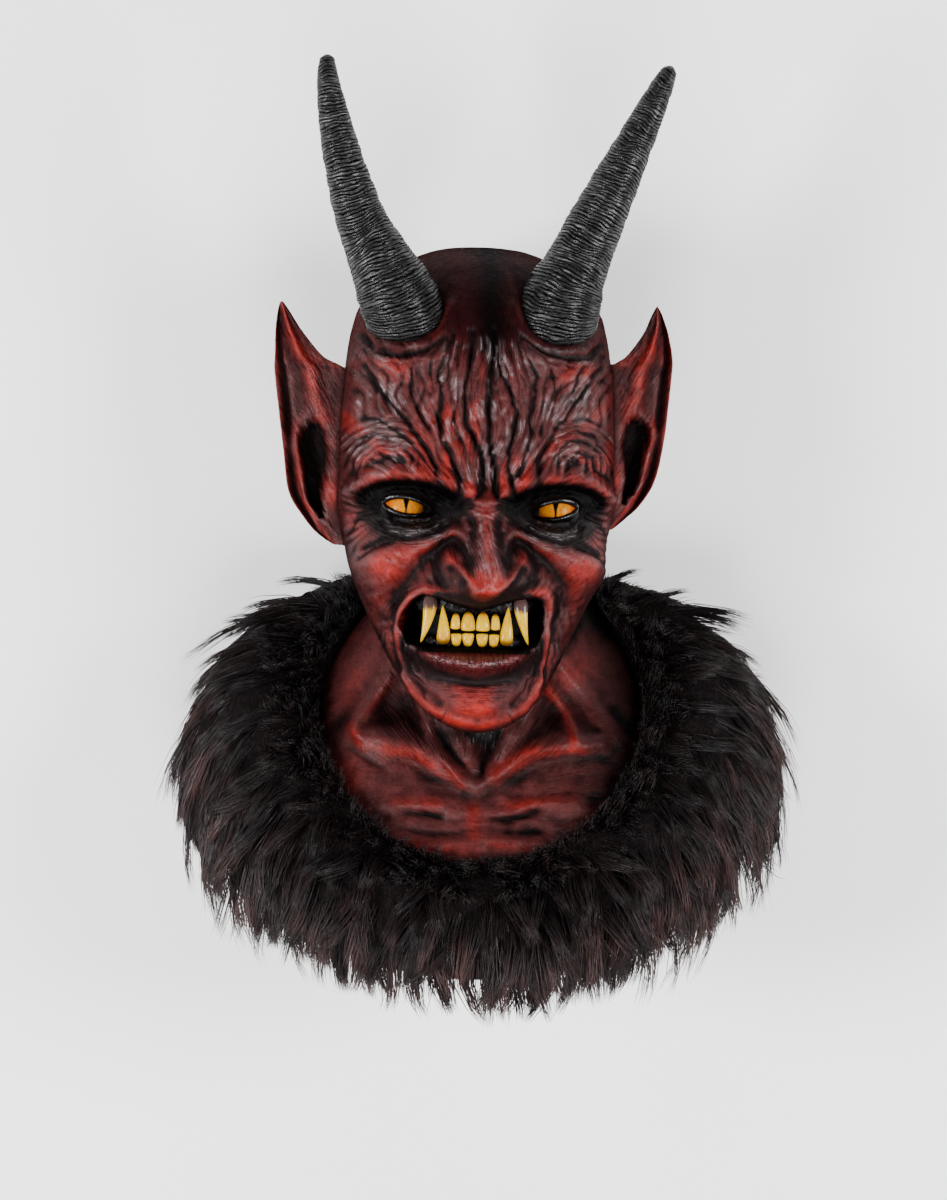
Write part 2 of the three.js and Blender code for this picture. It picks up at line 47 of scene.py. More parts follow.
# The head from crown to chin: height, half width, depth of the widest line, of the front and of the back
HEAD_LEVELS = np.array([
    [226, 0, 106, 106, 106],
    [223, 28, 107, 130, 84],
    [214, 51, 108, 152, 60],
    [202, 66, 110, 169, 40],
    [188, 76, 111, 183, 24],
    [170, 82, 112, 195, 8],
    [148, 85, 113, 205, -4],
    [120, 87, 115, 212, -9],
    [94, 88, 117, 216, -9],
    [74, 88, 119, 216, -4],
    [58, 88, 121, 214, 6],
    [42, 85, 124, 212, 16],
    [22, 80, 128, 212, 28],
    [2, 73, 133, 212, 46],
    [-14, 66, 140, 213, 66],
    [-30, 58, 148, 214, 88],
    [-45, 50, 157, 214, 110],
    [-59, 40, 168, 214, 134],
    [-71, 27, 181, 212, 158],
    [-79, 14, 192, 207, 176],
    [-82, 0, 196, 196, 196],
], float)
FRONT_BLUNTNESS = 0.92
HEAD_COLUMNS, HEAD_ROWS, FACE_CROWDING = 250, 290, 0.42

# The neck and chest as rings: height and depth in front, half width, height and depth at the side, then
# height and depth behind
DRAPE_RINGS = np.array([
    [20, 150, 60, 25, 92, 35, 34],
    [-30, 148, 68, 0, 90, 20, 30],
    [-70, 146, 82, -24, 86, 8, 27],
    [-105, 160, 106, -44, 80, -8, 25],
    [-145, 176, 135, -63, 73, -30, 24],
    [-188, 186, 162, -90, 66, -62, 24],
    [-226, 190, 180, -124, 60, -104, 23],
], float)
HEM = 5.0
DRAPE_COLUMNS, DRAPE_ROWS = 164, 84
# Columns and rows of the hollow inside
HOLLOW = dict(columns=60, head_rows=60, chest_rows=40)

# How far the middle of the face is pulled aside at each height
MIDLINE = np.array([[120, 1], [56, 1], [34, 2], [12, 3], [0, 0], [-14, -3.5], [-42, -3], [-80, 0.5]], float)
NOSE = np.array([
    [68, 8, 0],
    [54, 9, 10],
    [40, 11, 20],
    [26, 13, 28],
    [12, 14, 34],
    [4, 13, 34],
    [-2, 12, 20],
    [-8, 11, 0],
], float)
MOUTH = dict(height=-15, half_width=47, half_height=18, depth=22, droop=0.003)
EYE = dict(side=46, height=57, depth=170, radius=17, half_width=15, half_height=6.5, recess=9, slant=0.12)


# Numbers

def clamp(x, low=0.0, high=1.0):
    return np.minimum(high, np.maximum(low, x))


def smooth(start, end, x):
    t = clamp((x - start) / (end - start))
    return t * t * (3 - 2 * t)


def band(rise, full, fall, gone, x):
    """Rises from 0 to 1 between the first two places, and falls back between the last two."""
    return smooth(rise, full, x) * smooth(gone, fall, x)


def bell(d):
    return np.exp(-d * d)


def unit(v):
    return v / np.maximum(np.linalg.norm(v, axis=-1, keepdims=True), 1e-9)


def circle(count, start=-np.pi):
    return np.linspace(start, start + 2 * np.pi, count, endpoint=False)

def along(rows, t):
    """A smooth curve through rows of numbers, at t rows from the first."""
    t = np.asarray(t, float)
    last = len(rows) - 1
    i = np.clip(np.floor(t).astype(int), 0, last - 1)
    f = (t - i)[..., None]
    a, b, c, d = (rows[np.clip(i + k, 0, last)] for k in (-1, 0, 1, 2))
    pull = 2 * a - 5 * b + 4 * c - d
    bend = 3 * b - a - 3 * c + d
    return 0.5 * (2 * b + (c - a) * f + pull * f * f + bend * f ** 3)


def at_height(rows, y):
    """The same curve read at height y."""
    y = np.asarray(y, float)
    heights = rows[:, 0]
    order = np.argsort(heights)
    place = np.interp(y, heights[order], order.astype(float))
    return along(rows, place)


def distance(x, y, path):
    """How far each place is from the path."""
    best = np.full(np.shape(x), np.inf)
    for (ax, ay), (bx, by) in zip(path[:-1], path[1:]):
        dx, dy = bx - ax, by - ay
        t = clamp(((x - ax) * dx + (y - ay) * dy) / (dx * dx + dy * dy))
        best = np.minimum(best, (x - ax - t * dx) ** 2 + (y - ay - t * dy) ** 2)
    return np.sqrt(best)


def near(x, y, path, width):
    """1 on the path, falling to 0 away from it."""
    return bell(distance(x, y, path) / width)


def furrows_at(x, y, furrows):
    """Furrows that are sharp at the bottom and leave rounded folds between them."""
    return np.min([depth * np.exp(-distance(x, y, path) / reach) for path, reach, depth in furrows], axis=0)


def folds_at(x, y, folds):
    """Where ridges meet the highest counts, and where furrows meet the lowest."""
    high, low = np.zeros(np.shape(x)), np.zeros(np.shape(x))
    for path, width, rise in folds:
        value = rise * near(x, y, path, width)
        high, low = np.maximum(high, value), np.minimum(low, value)
    return high + low


def masses_at(x, y, masses):
    return sum(rise * bell(np.hypot((x - cx) / rx, (y - cy) / ry)) for cx, cy, rx, ry, rise in masses)


def in_oval(dx, dy, half_width, half_height):
    """1 inside a blunt oval, with a soft edge."""
    return 1 - smooth(0.7, 1.35, np.abs(dx / half_width) ** 2.6 + np.abs(dy / half_height) ** 2.6)


def noise(x, y, seed, size=64):
    """Smooth noise from -1 to 1 with a grain of 1 unit."""
    table = np.random.default_rng(seed).uniform(-1, 1, (size, size))
    x, y = np.asarray(x, float), np.asarray(y, float)
    i, j = np.floor(x).astype(int), np.floor(y).astype(int)
    u, v = x - i, y - j
    u, v = u * u * (3 - 2 * u), v * v * (3 - 2 * v)
    i0, j0, i1, j1 = i % size, j % size, (i + 1) % size, (j + 1) % size
    low = table[i0, j0] * (1 - u) + table[i1, j0] * u
    high = table[i0, j1] * (1 - u) + table[i1, j1] * u
    return low * (1 - v) + high * v


def creases(u, sharp=0.5):
    """Rounded folds one unit wide with narrow creases between them, from -1 to 0.4."""
    return np.abs(np.sin(np.pi * u)) ** sharp * 1.4 - 1.0

# Relief of the face

FACE_FOLDS = [
    ([(5, 60), (16, 67), (30, 73), (46, 76), (64, 74), (80, 66)], 7.5, 9),
    ([(10, 66), (14, 80), (24, 98)], 6, 4.5),
    ([(56, 94), (66, 95), (78, 87)], 6, 3),
    ([(28, 152), (50, 142), (70, 150)], 6.5, 4),
    ([(18, 41), (34, 35), (50, 31), (64, 25)], 6.5, 4),
    ([(20, 37), (34, 26), (46, 12), (53, -4), (54, -22), (46, -42)], 6, -6),
    ([(34, -29), (20, -37), (0, -40)], 6.5, 11),
    ([(26, -46), (0, -50)], 5.5, -2.0),
]
FACE_MASSES = [
    (46, 54, 28, 15, -16),
    (46, 41, 20, 6, 6),
    (58, 19, 24, 15, 9),
    (60, -14, 14, 20, -4),
    (0, 18, 30, 26, 10),
    (18, 13, 9, 11, 12),
    (0, -16, 46, 34, 6),
    (0, -64, 22, 12, 8),
    (82, 84, 12, 22, -3),
]
# The fold round the mouth
MOUTH_FOLD = [
    (28, 4.5), (36, 5.5), (43, 1), (46.5, -8), (47, -20), (47.5, -33), (44, -46), (38, -57), (29, -67),
    (16, -74.5), (0, -78),
]
# Sharper lines that the solids leave out, the same on both sides
FACE_LINES = [
    ([(9, 57), (4, 55), (0, 54)], 1.6, -2.6),
    ([(8, 61), (0, 60)], 2.4, 2.0),
    ([(20, 60), (30, 66), (43, 69), (58, 69), (70, 66), (77, 61)], 2.2, -4.0),
    ([(63, 61), (54, 65), (43, 65), (32, 61)], 2.4, 4.0),
    ([(61, 54), (54, 49.5), (44, 48), (34, 51)], 2.0, 2.6),
    ([(66, 48), (58, 39.5), (46, 37), (34, 40), (25, 46)], 1.8, -2.2),
    ([(60, 46), (46, 43), (32, 45)], 4.0, 1.6),
    ([(37, 31), (29, 36), (22, 40.5), (17, 41), (12.5, 37), (10.5, 31)], 3.2, 2.8),
    ([(28, 30), (25.5, 35), (20.5, 37), (17, 34), (14, 29), (12, 22), (11.5, 16)], 3.0, -2.4),
    ([(24, 28), (20.5, 22), (16, 16), (11.5, 9), (7, 4)], 3.6, 5.0),
    ([(22.5, 27), (18, 26)], 4.0, 3.0),
    ([(7, 48), (8, 39), (9.5, 30), (11, 22)], 3.2, -2.0),
    ([(13, 50), (10.5, 44)], 2.4, 1.8),
    ([(22, 20), (18, 15), (15, 10)], 2.8, -3.2),
    ([(32, 24), (30, 13), (25, 7)], 2.2, -2.6),
    ([(26, 34), (34, 28), (43, 19), (51, 9), (55, -2)], 4.4, -1.2),
    (MOUTH_FOLD, 3.8, 3.2),
    ([(36, 0), (42, -6), (43, -20), (43, -34), (39, -46), (32, -56), (22, -64)], 2.6, -2.6),
    ([(54, -6), (55, -24), (50, -42), (42, -56)], 3.0, -2.4),
    ([(32, -33), (16, -37), (0, -38.5)], 8.5, 2.6),
    ([(31, -41), (20, -46.5), (8, -50), (0, -51)], 2.6, -0.9),
    ([(37, -24), (38, -34), (34, -44)], 2.0, -1.8),
    ([(72, 31), (61, 37), (51, 38.5)], 1.8, -2.2),
    ([(74, 24), (66, 31), (56, 35)], 1.8, -1.8),
    ([(70, 54), (80, 50), (84, 40)], 1.8, -1.8),
]
# Furrows of the brow and forehead, from the brow upwards
FOREHEAD_FURROWS = [
    ([(-10, 61), (-4, 65), (-1.5, 75), (-3, 88), (-8, 98), (-12, 108), (-14.5, 119), (-13.5, 131), (-10,
      142), (-9, 164)], 2.5, -5.8),
    ([(16, 60), (8, 62), (6, 70), (5.5, 80), (3, 92), (0.5, 104), (1.5, 118), (3, 136), (4, 166)], 2.5,
      -5.8),
    ([(-16, 64), (-17, 73), (-19, 82), (-23, 90), (-27, 99), (-29, 112), (-27, 125), (-30, 138), (-26, 150),
      (-20, 164)], 2.4, -4.8),
    ([(19, 63), (14.5, 72), (13, 82), (13, 93), (17, 104), (18.5, 114), (16, 126), (9, 138), (5, 152)], 2.4,
      -4.8),
    ([(-25, 64), (-30, 73), (-31, 82), (-35, 90), (-41, 98), (-48, 107), (-55, 116), (-62, 124), (-70, 134),
      (-75, 144)], 2.4, -4.6),
    ([(31, 67), (32, 77), (32, 86), (36, 95), (41, 102), (47, 110), (53, 119), (60, 129), (68, 139), (74,
      148)], 2.4, -4.6),
    ([(20, 77), (22, 84), (25, 92), (27, 101), (26, 113), (29, 125), (31, 138), (27, 148), (20, 160)], 2.2,
      -3.6),
    ([(-37, 84), (-46, 95), (-55, 103), (-65, 109), (-76, 111)], 2.0, -3.0),
    ([(-40, 81), (-49, 91), (-58, 97), (-68, 101), (-76, 98)], 2.0, -2.6),
    ([(-44, 77), (-51, 84), (-59, 86), (-68, 83)], 1.9, -2.6),
    ([(-50, 110), (-57, 121), (-66, 132), (-73, 143)], 1.9, -2.4),
    ([(-36, 104), (-43, 117), (-47, 129), (-46, 142)], 2.0, -3.0),
    ([(-17, 98), (-20, 110), (-21, 122), (-24, 133), (-22, 142), (-17, 156)], 1.9, -2.6),
    ([(-5, 104), (-6, 116), (-4, 130), (-3, 148)], 1.8, -2.0),
    ([(-33, 128), (-35, 139), (-34, 150), (-27, 160)], 2.0, -3.0),
    ([(48, 79), (51, 88), (59, 92.5), (67, 90), (72, 82)], 1.9, -3.2),
    ([(43, 80), (45, 92), (53, 99), (63, 99.5), (72, 94), (77, 85)], 1.9, -3.0),
    ([(41, 89), (46, 101), (56, 106), (68, 104), (77, 96)], 1.9, -2.6),
    ([(42, 98), (50, 109), (60, 114), (74, 111)], 1.9, -2.2),
    ([(50, 73), (54, 79), (64, 83)], 1.6, -1.8),
    ([(36, 101), (42, 113), (50, 125), (57, 137), (60, 147)], 2.0, -2.8),
    ([(33, 104), (38, 118), (42, 130), (40, 143)], 2.0, -2.8),
    ([(46, 118), (56, 128), (66, 136), (77, 140)], 1.8, -2.0),
    ([(9, 100), (8, 114), (11, 124)], 1.8, -2.0),
    ([(-77, 164), (-68, 152.5), (-52, 149), (-38, 151.5), (-27, 162)], 2.0, -3.2),
    ([(-76, 155), (-64, 146), (-52, 144), (-41, 146)], 1.8, -1.8),
    ([(77, 163), (66, 153), (50, 150.5), (34, 153), (20, 164)], 2.0, -3.2),
    ([(77, 156), (66, 147.5), (52, 145.5), (38, 148), (25, 157)], 1.8, -2.6),
    ([(74, 150), (64, 142.5), (52, 141), (42, 143)], 1.8, -1.6),
]
BROW_BULBS = [
    (-9, 68, 4.5, 8, 4.0),
    (-23.5, 75, 5.8, 11, 5.2),
    (11, 66.5, 4.5, 8, 4.0),
    (25, 75, 5.8, 11, 5.2),
    (60, 80, 10, 8, 2.0),
    (-58, 78, 14, 6, 1.5),
]
# The skin sinks round the horns, and is rolled up at their feet
HORN_SEATS = [(49, 183, 27, 23, -13), (-51, 183, 27, 23, -13)]
HORN_ROLLS = [
    ([(-80, 182), (-76, 168), (-66, 158.5), (-51, 156), (-36, 158.5), (-27, 167), (-22, 182)], 3.0, 3.4),
    ([(-76, 157), (-64, 148.5), (-51, 146.5), (-38, 149)], 2.4, 1.6),
    ([(78, 182), (74, 168), (64, 158.5), (48, 156), (32, 158.5), (21, 167), (16, 182)], 3.0, 3.4),
    ([(76, 158), (64, 149.5), (50, 148), (36, 150.5), (24, 160)], 2.4, 2.0),
]


# The mouth's upper and lower edge, as (x, height)
MOUTH_TOP = np.array([
    [-46, -20], [-44, -9], [-41, -2], [-36, 2], [-26, 0.5], [-13, -3], [0, -6], [9, -3], [20, 0.5], [33, 2],
    [38, 0], [42, -8], [44, -20],
], float)
MOUTH_BOTTOM = np.array([
    [-46, -15], [-43, -21], [-39, -27], [-31, -29], [0, -29], [27, -29.5], [37, -27], [42, -21], [44, -15],
], float)
# The paths of the pleats round the mouth and of the lower lip, and the middles of the lines that turn
MOUTH_RING = [(36, 5), (43, 1), (47, -8), (47.5, -33), (44, -46), (38, -57), (29, -67)]
LIP_LINE = [(31, -31), (18, -36), (0, -38)]
FAN_FOOT, BROW_MIDDLE, EYE_CORNER, BAG_MIDDLE = (0, 34), (60, 80), (62, 52), (46, 58)


def polar(x, y, middle):
    """The turn round a middle point and how far away it is."""
    return np.arctan2(y - middle[1], x - middle[0]), np.hypot(x - middle[0], y - middle[1])


def in_mouth(x, y):
    top = np.interp(x, *MOUTH_TOP.T)
    bottom = np.interp(x, *MOUTH_BOTTOM.T)
    return smooth(-1.2, 2.6, np.minimum(top - y, y - bottom))


def midline(y):
    return at_height(MIDLINE, y)[..., 1]


def broad_face(x, y, mouth=None):
    """The forms that the solids have too, with the solids' mouth unless another is given."""
    side = np.abs(x)
    _, width, rise = np.moveaxis(at_height(NOSE, y), -1, 0)
    out = folds_at(side, y, FACE_FOLDS) + masses_at(side, y, FACE_MASSES)
    out = out + rise * np.exp(-((side / width) ** 2.2))
    if mouth is None:
        below_lip = y - MOUTH["height"] + MOUTH["droop"] * x * x
        mouth = in_oval(x, below_lip, MOUTH["half_width"], MOUTH["half_height"])
    out = out - MOUTH["depth"] * mouth
    up = y - EYE["height"] - EYE["slant"] * (side - EYE["side"])
    return out - EYE["recess"] * in_oval(side - EYE["side"], up, EYE["half_width"], EYE["half_height"])


def forehead_furrows(x, y):
    wave_x = x + 1.1 * noise(x / 7 + 40, y / 9 + 40, 3) + 0.5 * noise(x / 3 + 40, y / 4 + 40, 4)
    wave_y = y + 1.1 * noise(x / 8 + 40, y / 8 + 40, 8)
    between_horns = smooth(95, 150, y) * smooth(40, 20, np.abs(x))
    fade = (1 - 0.3 * between_horns) * (0.9 + 0.25 * noise(x / 10 + 40, y / 12 + 40, 5))
    return furrows_at(wave_x, wave_y, FOREHEAD_FURROWS) * fade


def strand_field(x, y):
    """The forehead's strands: their turn, how far up they are, and how much of them shows."""
    side, up = np.abs(x), y - FAN_FOOT[1]
    reach = np.hypot(x, up)
    warp = 4.5 * noise(x / 20 + 40, y / 26 + 40, 3) * smooth(24, 70, reach)
    gathered = 1 + 1.2 * smooth(120, 175, y) * smooth(45, 20, side)
    turn = np.arctan2((x + warp) * gathered, up)
    here = smooth(28, 42, reach) * smooth(1.2, 0.9, np.abs(np.arctan2(x, up))) * smooth(88, 76, side)
    return turn, reach, here


def brow_arcs(x, y):
    """The arched folds over the outer half of each brow: how far from its middle, and where they are."""
    side = np.abs(x)
    arcs = np.hypot((side - BROW_MIDDLE[0]) * 0.8, y - BROW_MIDDLE[1])
    arcs = arcs + 1.2 * noise(x / 9 + 40, y / 9 + 40, 6)
    return arcs, band(8, 11, 28, 36, arcs) * smooth(76, 84, y) * smooth(36, 44, side)


def forehead_folds(x, y):
    """Skin gathered between the brows: strands that fan up from there and wander round the horns."""
    turn, reach, here = strand_field(x, y)
    here = here * smooth(168, 150, y)
    strands = creases(turn * 12.3 + 0.3 + 0.8 * noise(turn * 7 + 9, reach / 15 + 9, 9), 0.6)
    strands = strands * (1.7 + 0.7 * noise(x / 9 + 20, y / 13 + 20, 10))
    arcs, arched = brow_arcs(x, y)
    arch = creases(arcs / 4.2 + 0.4 * noise(x / 8 + 20, y / 8 + 20, 19), 0.6)
    folds = folds_at(x, y, HORN_ROLLS) + masses_at(x, y, HORN_SEATS)
    return forehead_furrows(x, y) + folds + strands * here * (1 - arched) + 1.5 * arch * arched


def bag_reach(x, y):
    return np.hypot((np.abs(x) - BAG_MIDDLE[0]) * 0.72, y - BAG_MIDDLE[1])


def cheek_folds(x, y):
    """Fine folds round the eyes, nose and mouth, each as its height, its waves and where it shows."""
    side = np.abs(x)
    feet_turn, feet_reach = polar(side, y, EYE_CORNER)
    rim = distance(side, y, MOUTH_RING)
    crows_feet = (
        1.1, creases(feet_turn * 4.2 + 0.4 * noise(x / 8, y / 8, 11), 0.6),
        band(10, 16, 24, 36, feet_reach) * smooth(1.4, 1.0, np.abs(feet_turn)),
    )
    crepe = (
        0.8, creases(bag_reach(x, y) / 3.4 + 0.5 * noise(x / 6 + 30, y / 3 + 30, 12), 0.7),
        smooth(1.2, 0.7, np.hypot((side - 46) / 24, (y - 44) / 7.5)),
    )
    lip = 0.8, creases((x + 2 * noise(x / 7, y / 5, 13)) / 3.4, 0.7), near(side, y, LIP_LINE, 6)
    pleats = (
        0.8, creases(rim / 4.0 + 0.7 * noise(x / 6 + 30, y / 9 + 30, 18), 0.7),
        band(2, 4, 9, 13, rim) * smooth(14, 2, y) * smooth(24, 34, side),
    )
    muzzle = (
        0.8, creases(np.arctan2(x, y + 60) * 13 + 0.5 * noise(x / 8, y / 8, 14), 0.6),
        bell(np.hypot((side - 34) / 18, (y - 12) / 11)),
    )
    jaw = (
        0.7, creases((side * 0.8 + y * 0.55) / 6.5 + 0.7 * noise(x / 12, y / 12, 15), 0.6),
        bell(np.hypot((side - 62) / 16, (y + 10) / 26)),
    )
    bridge = (
        0.7, creases((y + 0.9 * side) / 5.0 + 0.4 * noise(x / 6, y / 6, 16), 0.6),
        bell(np.hypot(side / 15, (y - 46) / 14)),
    )
    kinds = (crows_feet, crepe, lip, pleats, muzzle, jaw, bridge)
    return sum(height * waves * here for height, waves, here in kinds)


def fine_skin(x, y, grain=1.0):
    """Shallow unevenness of hand-modelled clay."""
    return grain * (0.35 * noise(x / 5.5, y / 7, 21) + 0.22 * noise(x / 2.6, y / 3.2, 22))


def full_face(x, y):
    lines = folds_at(np.abs(x), y, FACE_LINES) + masses_at(x, y, BROW_BULBS)
    mouth = in_mouth(x, y)
    detail = lines + forehead_folds(x, y) + cheek_folds(x, y) + fine_skin(x, y)
    return broad_face(x, y, mouth) + detail * (1 - 0.9 * mouth)

# Relief of the neck and chest

CHEST_FOLDS = [
    ([(9, -110), (32, -95), (52, -88), (76, -90)], 6, 7),
    ([(-3, -115), (-26, -98), (-50, -87), (-78, -84)], 6, 7),
    ([(8, -106), (24, -82), (38, -50)], 6, 6),
    ([(-4, -106), (-18, -82), (-36, -50)], 6, 6),
    ([(50, -40), (66, -62), (84, -86)], 6, 4),
    ([(-52, -38), (-66, -58), (-82, -84)], 6, 4),
    ([(16, -132), (40, -127), (60, -128)], 4, 3),
    ([(-14, -131), (-40, -127), (-62, -128)], 4, 3),
    ([(-24, -152), (6, -149), (40, -154)], 4, 2.5),
]
CHEST_MASSES = [
    (48, -70, 17, 13, -9),
    (-48, -69, 17, 13, -9),
    (2, -92, 9, 16, -5),
]
CHEST_LINES = [
    ([(-80, -84), (-74, -92), (-58, -94), (-45, -95), (-35, -99), (-26, -107), (-12, -115)], 4.5, 3.0),
    ([(66, -94), (50, -94), (34, -93), (24, -96), (14, -103), (3, -113)], 4.5, 3.0),
    ([(-58, -48), (-66, -62), (-74, -74), (-82, -83)], 3.0, 4.0),
    ([(36, -50), (46, -61), (54, -72), (60, -88)], 3.0, 4.0),
    ([(-40, -62), (-34, -78), (-29, -92), (-20, -104), (-12, -115)], 3.0, 4.0),
    ([(22, -66), (17, -82), (13, -94), (7, -105), (2, -114)], 3.0, 4.0),
    ([(-56, -129), (-40, -133), (-25, -135)], 2.2, -3.0),
    ([(5, -137), (18, -137), (36, -131)], 2.2, -3.0),
    ([(-44, -143), (-12, -146)], 3.4, -1.1),
    ([(8, -146), (40, -143)], 3.4, -1.1),
    ([(-74, -99), (-60, -107)], 1.4, -1.6),
    ([(-78, -96), (-66, -105)], 1.4, -1.6),
    ([(4, -153), (18, -151), (34, -154)], 1.8, -1.8),
]


def broad_chest(x, y):
    return folds_at(x, y, CHEST_FOLDS) + masses_at(x, y, CHEST_MASSES)


def rib_taper(x, y):
    """Thins the creases between the ribs towards their ends."""
    return 1 - smooth(-120, -127, y) * (1 - bell((np.abs(x + 4) - 27) / 17))


def full_chest(x, y):
    ribs = creases((y + 5 * noise(x / 26, y / 10, 31)) / 8.5, 0.7) * smooth(-112, -124, y)
    strings = creases(np.arctan2(x + 6, y + 130) * 17 + 0.6 * noise(x / 9, y / 12, 32), 0.7)
    strings = strings * smooth(-112, -100, y) * smooth(70, 40, np.abs(x + 6))
    lines = folds_at(x, y, CHEST_LINES) * rib_taper(x, y)
    return broad_chest(x, y) + lines + 0.8 * ribs + 0.6 * strings + fine_skin(x, y, 0.9)


# Surfaces, as rows of points from top to bottom by columns turning from straight ahead towards +X

# The rings between which the relief of the chest fades in and out
CHEST_SPAN = (0.5, 1.5, 4.2, 4.7)


def head_surface(turn, level, relief):
    y, width, middle, front, back = np.moveaxis(along(HEAD_LEVELS, level), -1, 0)
    ahead, aside = np.cos(turn), np.sin(turn)
    blunt = np.where(ahead > 0, FRONT_BLUNTNESS, 1.0)
    x = width * np.sign(aside) * np.abs(aside) ** blunt
    z = middle + ahead * np.where(ahead > 0, front - middle, middle - back)
    out_x, out_z = 0.7 * aside ** 3, np.maximum(ahead, 0.25)
    rise = smooth(-0.1, 0.4, ahead) * relief(x - midline(y), y) / np.hypot(out_x, out_z)
    return np.stack([x + out_x * rise, y + 0 * rise, z + out_z * rise], -1)


def round_ring(front, side, back, turn):
    middle = (front + back) / 4
    return middle + side / 2 + (front - back) / 2 * np.cos(turn) + (middle - side / 2) * np.cos(2 * turn)


def drape_surface(turn, s, relief):
    """The neck and chest at s rings from the top; past the last ring it runs straight on."""
    last, step = len(DRAPE_RINGS) - 1, 0.25
    rings = along(DRAPE_RINGS, np.minimum(s, last))
    beyond = np.maximum(s - last, 0)[..., None] / step
    rings = rings + (DRAPE_RINGS[-1] - along(DRAPE_RINGS, last - step)) * beyond
    front_y, front_z, width, side_y, side_z, back_y, back_z = np.moveaxis(rings, -1, 0)
    x = width * np.sin(turn)
    y = round_ring(front_y, side_y, back_y, turn)
    z = round_ring(front_z, side_z, back_z, turn)
    faces = smooth(0, 0.5, np.cos(turn)) * band(*CHEST_SPAN, s)
    return np.stack([x, y, z + faces * relief(x, y)], -1)


def normals_of(surface, turn, level, relief, step=0.02):
    across = surface(turn + step, level, relief) - surface(turn - step, level, relief)
    down = surface(turn, level + step, relief) - surface(turn, level - step, relief)
    return unit(np.cross(down, across))


def behind(relief, reach=8.0):
    """The lowest that a relief lies around each place, so that the hollow never comes through."""
    steps = [(0, 0), (1, 0), (-1, 0), (0, 1), (0, -1)]
    steps += [(0.75 * a, 0.75 * b) for a in (1, -1) for b in (1, -1)]
    return lambda x, y: np.min([relief(x + dx * reach, y + dy * reach) for dx, dy in steps], axis=0)


def flat(x, y):
    return np.zeros(np.shape(x))


def turns(columns, crowding=1.0):
    """Columns round a form, closer together in front where the crowding is low."""
    ahead = np.linspace(-1, 1, columns, endpoint=False)
    return np.pi * (crowding * ahead + (1 - crowding) * ahead ** 3)


def head_turn():
    to_pivot = Matrix.Translation(Vector(HEAD_PIVOT) + Vector((HEAD_SHIFT, 0, 0)))
    roll = Matrix.Rotation(HEAD_ROLL, 4, "Z")
    yaw = Matrix.Rotation(HEAD_YAW, 4, "Y")
    return np.array(to_pivot @ roll @ yaw @ Matrix.Translation(-Vector(HEAD_PIVOT)))


HEAD_TURN = head_turn()


def placed(points):
    """Points of the head's own frame turned into place."""
    return points @ HEAD_TURN[:3, :3].T + HEAD_TURN[:3, 3]


def unplaced(points):
    """Points turned back into the head's own frame."""
    return (points - HEAD_TURN[:3, 3]) @ HEAD_TURN[:3, :3]


def to_row(points):
    return (points - CENTRE) / 1000.0


# Meshes

def grid_mesh(points):
    """Vertices, quads and triangles of a closed grid: each end row is one point at its middle."""
    rows, columns = points.shape[:2]
    vertices = np.concatenate([[points[0].mean(0)], points[1:-1].reshape(-1, 3), [points[-1].mean(0)]])
    index = 1 + np.arange((rows - 2) * columns).reshape(rows - 2, columns)
    onward = np.roll(index, -1, axis=1)
    quads = np.stack([index[:-1], index[1:], onward[1:], onward[:-1]], -1).reshape(-1, 4)
    top = np.stack([np.zeros(columns, int), index[0], onward[0]], -1)
    bottom = np.stack([np.full(columns, len(vertices) - 1), onward[-1], index[-1]], -1)
    return vertices, quads, np.concatenate([top, bottom])


def grid_values(values):
    """A number for each place of a grid, in the order of grid_mesh's vertices."""
    return np.concatenate([[values[0].mean()], values[1:-1].ravel(), [values[-1].mean()]])


def loop_mesh(points):
    """Vertices, quads and triangles of a closed tube: its last row of sections meets the first."""
    rows, columns = points.shape[:2]
    index = np.arange(rows * columns).reshape(rows, columns)
    onward, down = np.roll(index, -1, 1), np.roll(index, -1, 0)
    quads = np.stack([index, onward, np.roll(onward, -1, 0), down], -1).reshape(-1, 4)
    return points.reshape(-1, 3), quads, np.zeros((0, 3), int)


def new_object(name, vertices, quads, triangles):
    mesh = bpy.data.meshes.new(name)
    mesh.vertices.add(len(vertices))
    mesh.vertices.foreach_set("co", vertices.astype(np.float32).ravel())
    corners = np.concatenate([quads.ravel(), triangles.ravel()]).astype(np.int32)
    mesh.loops.add(len(corners))
    mesh.loops.foreach_set("vertex_index", corners)
    starts = np.concatenate([4 * np.arange(len(quads)), 4 * len(quads) + 3 * np.arange(len(triangles))])
    mesh.polygons.add(len(starts))
    mesh.polygons.foreach_set("loop_start", starts.astype(np.int32))
    mesh.update(calc_edges=True)
    made = bpy.data.objects.new(name, mesh)
    bpy.context.scene.collection.objects.link(made)
    shade_smooth(made)
    return made


def combined(base, others, operation):
    """base joined with or cut by the others, each face keeping the number of the object that it came from."""
    for other in others:
        modifier = base.modifiers.new("combine", "BOOLEAN")
        modifier.operation = operation
        modifier.solver = "MANIFOLD"
        modifier.object = other
        graph = bpy.context.evaluated_depsgraph_get()
        mesh = bpy.data.meshes.new_from_object(base.evaluated_get(graph))
        base.modifiers.clear()
        base.data = mesh
        bpy.data.objects.remove(other)
    return base


def read(items, key, width=1, kind=np.int32):
    """One attribute of all items of a mesh, as rows of the given width."""
    out = np.empty(len(items) * width, kind)
    items.foreach_get(key, out)
    return out.reshape(-1, width) if width > 1 else out


def vertices_of(made, key="co"):
    return read(made.data.vertices, key, 3, np.float32).astype(float)


def normals_at(made):
    return vertices_of(made, "normal")


def set_vertices(made, vertices):
    made.data.vertices.foreach_set("co", vertices.astype(np.float32).ravel())
    made.data.update()


VALUE_KEYS = dict(FLOAT="value", FLOAT_VECTOR="vector", FLOAT_COLOR="color")


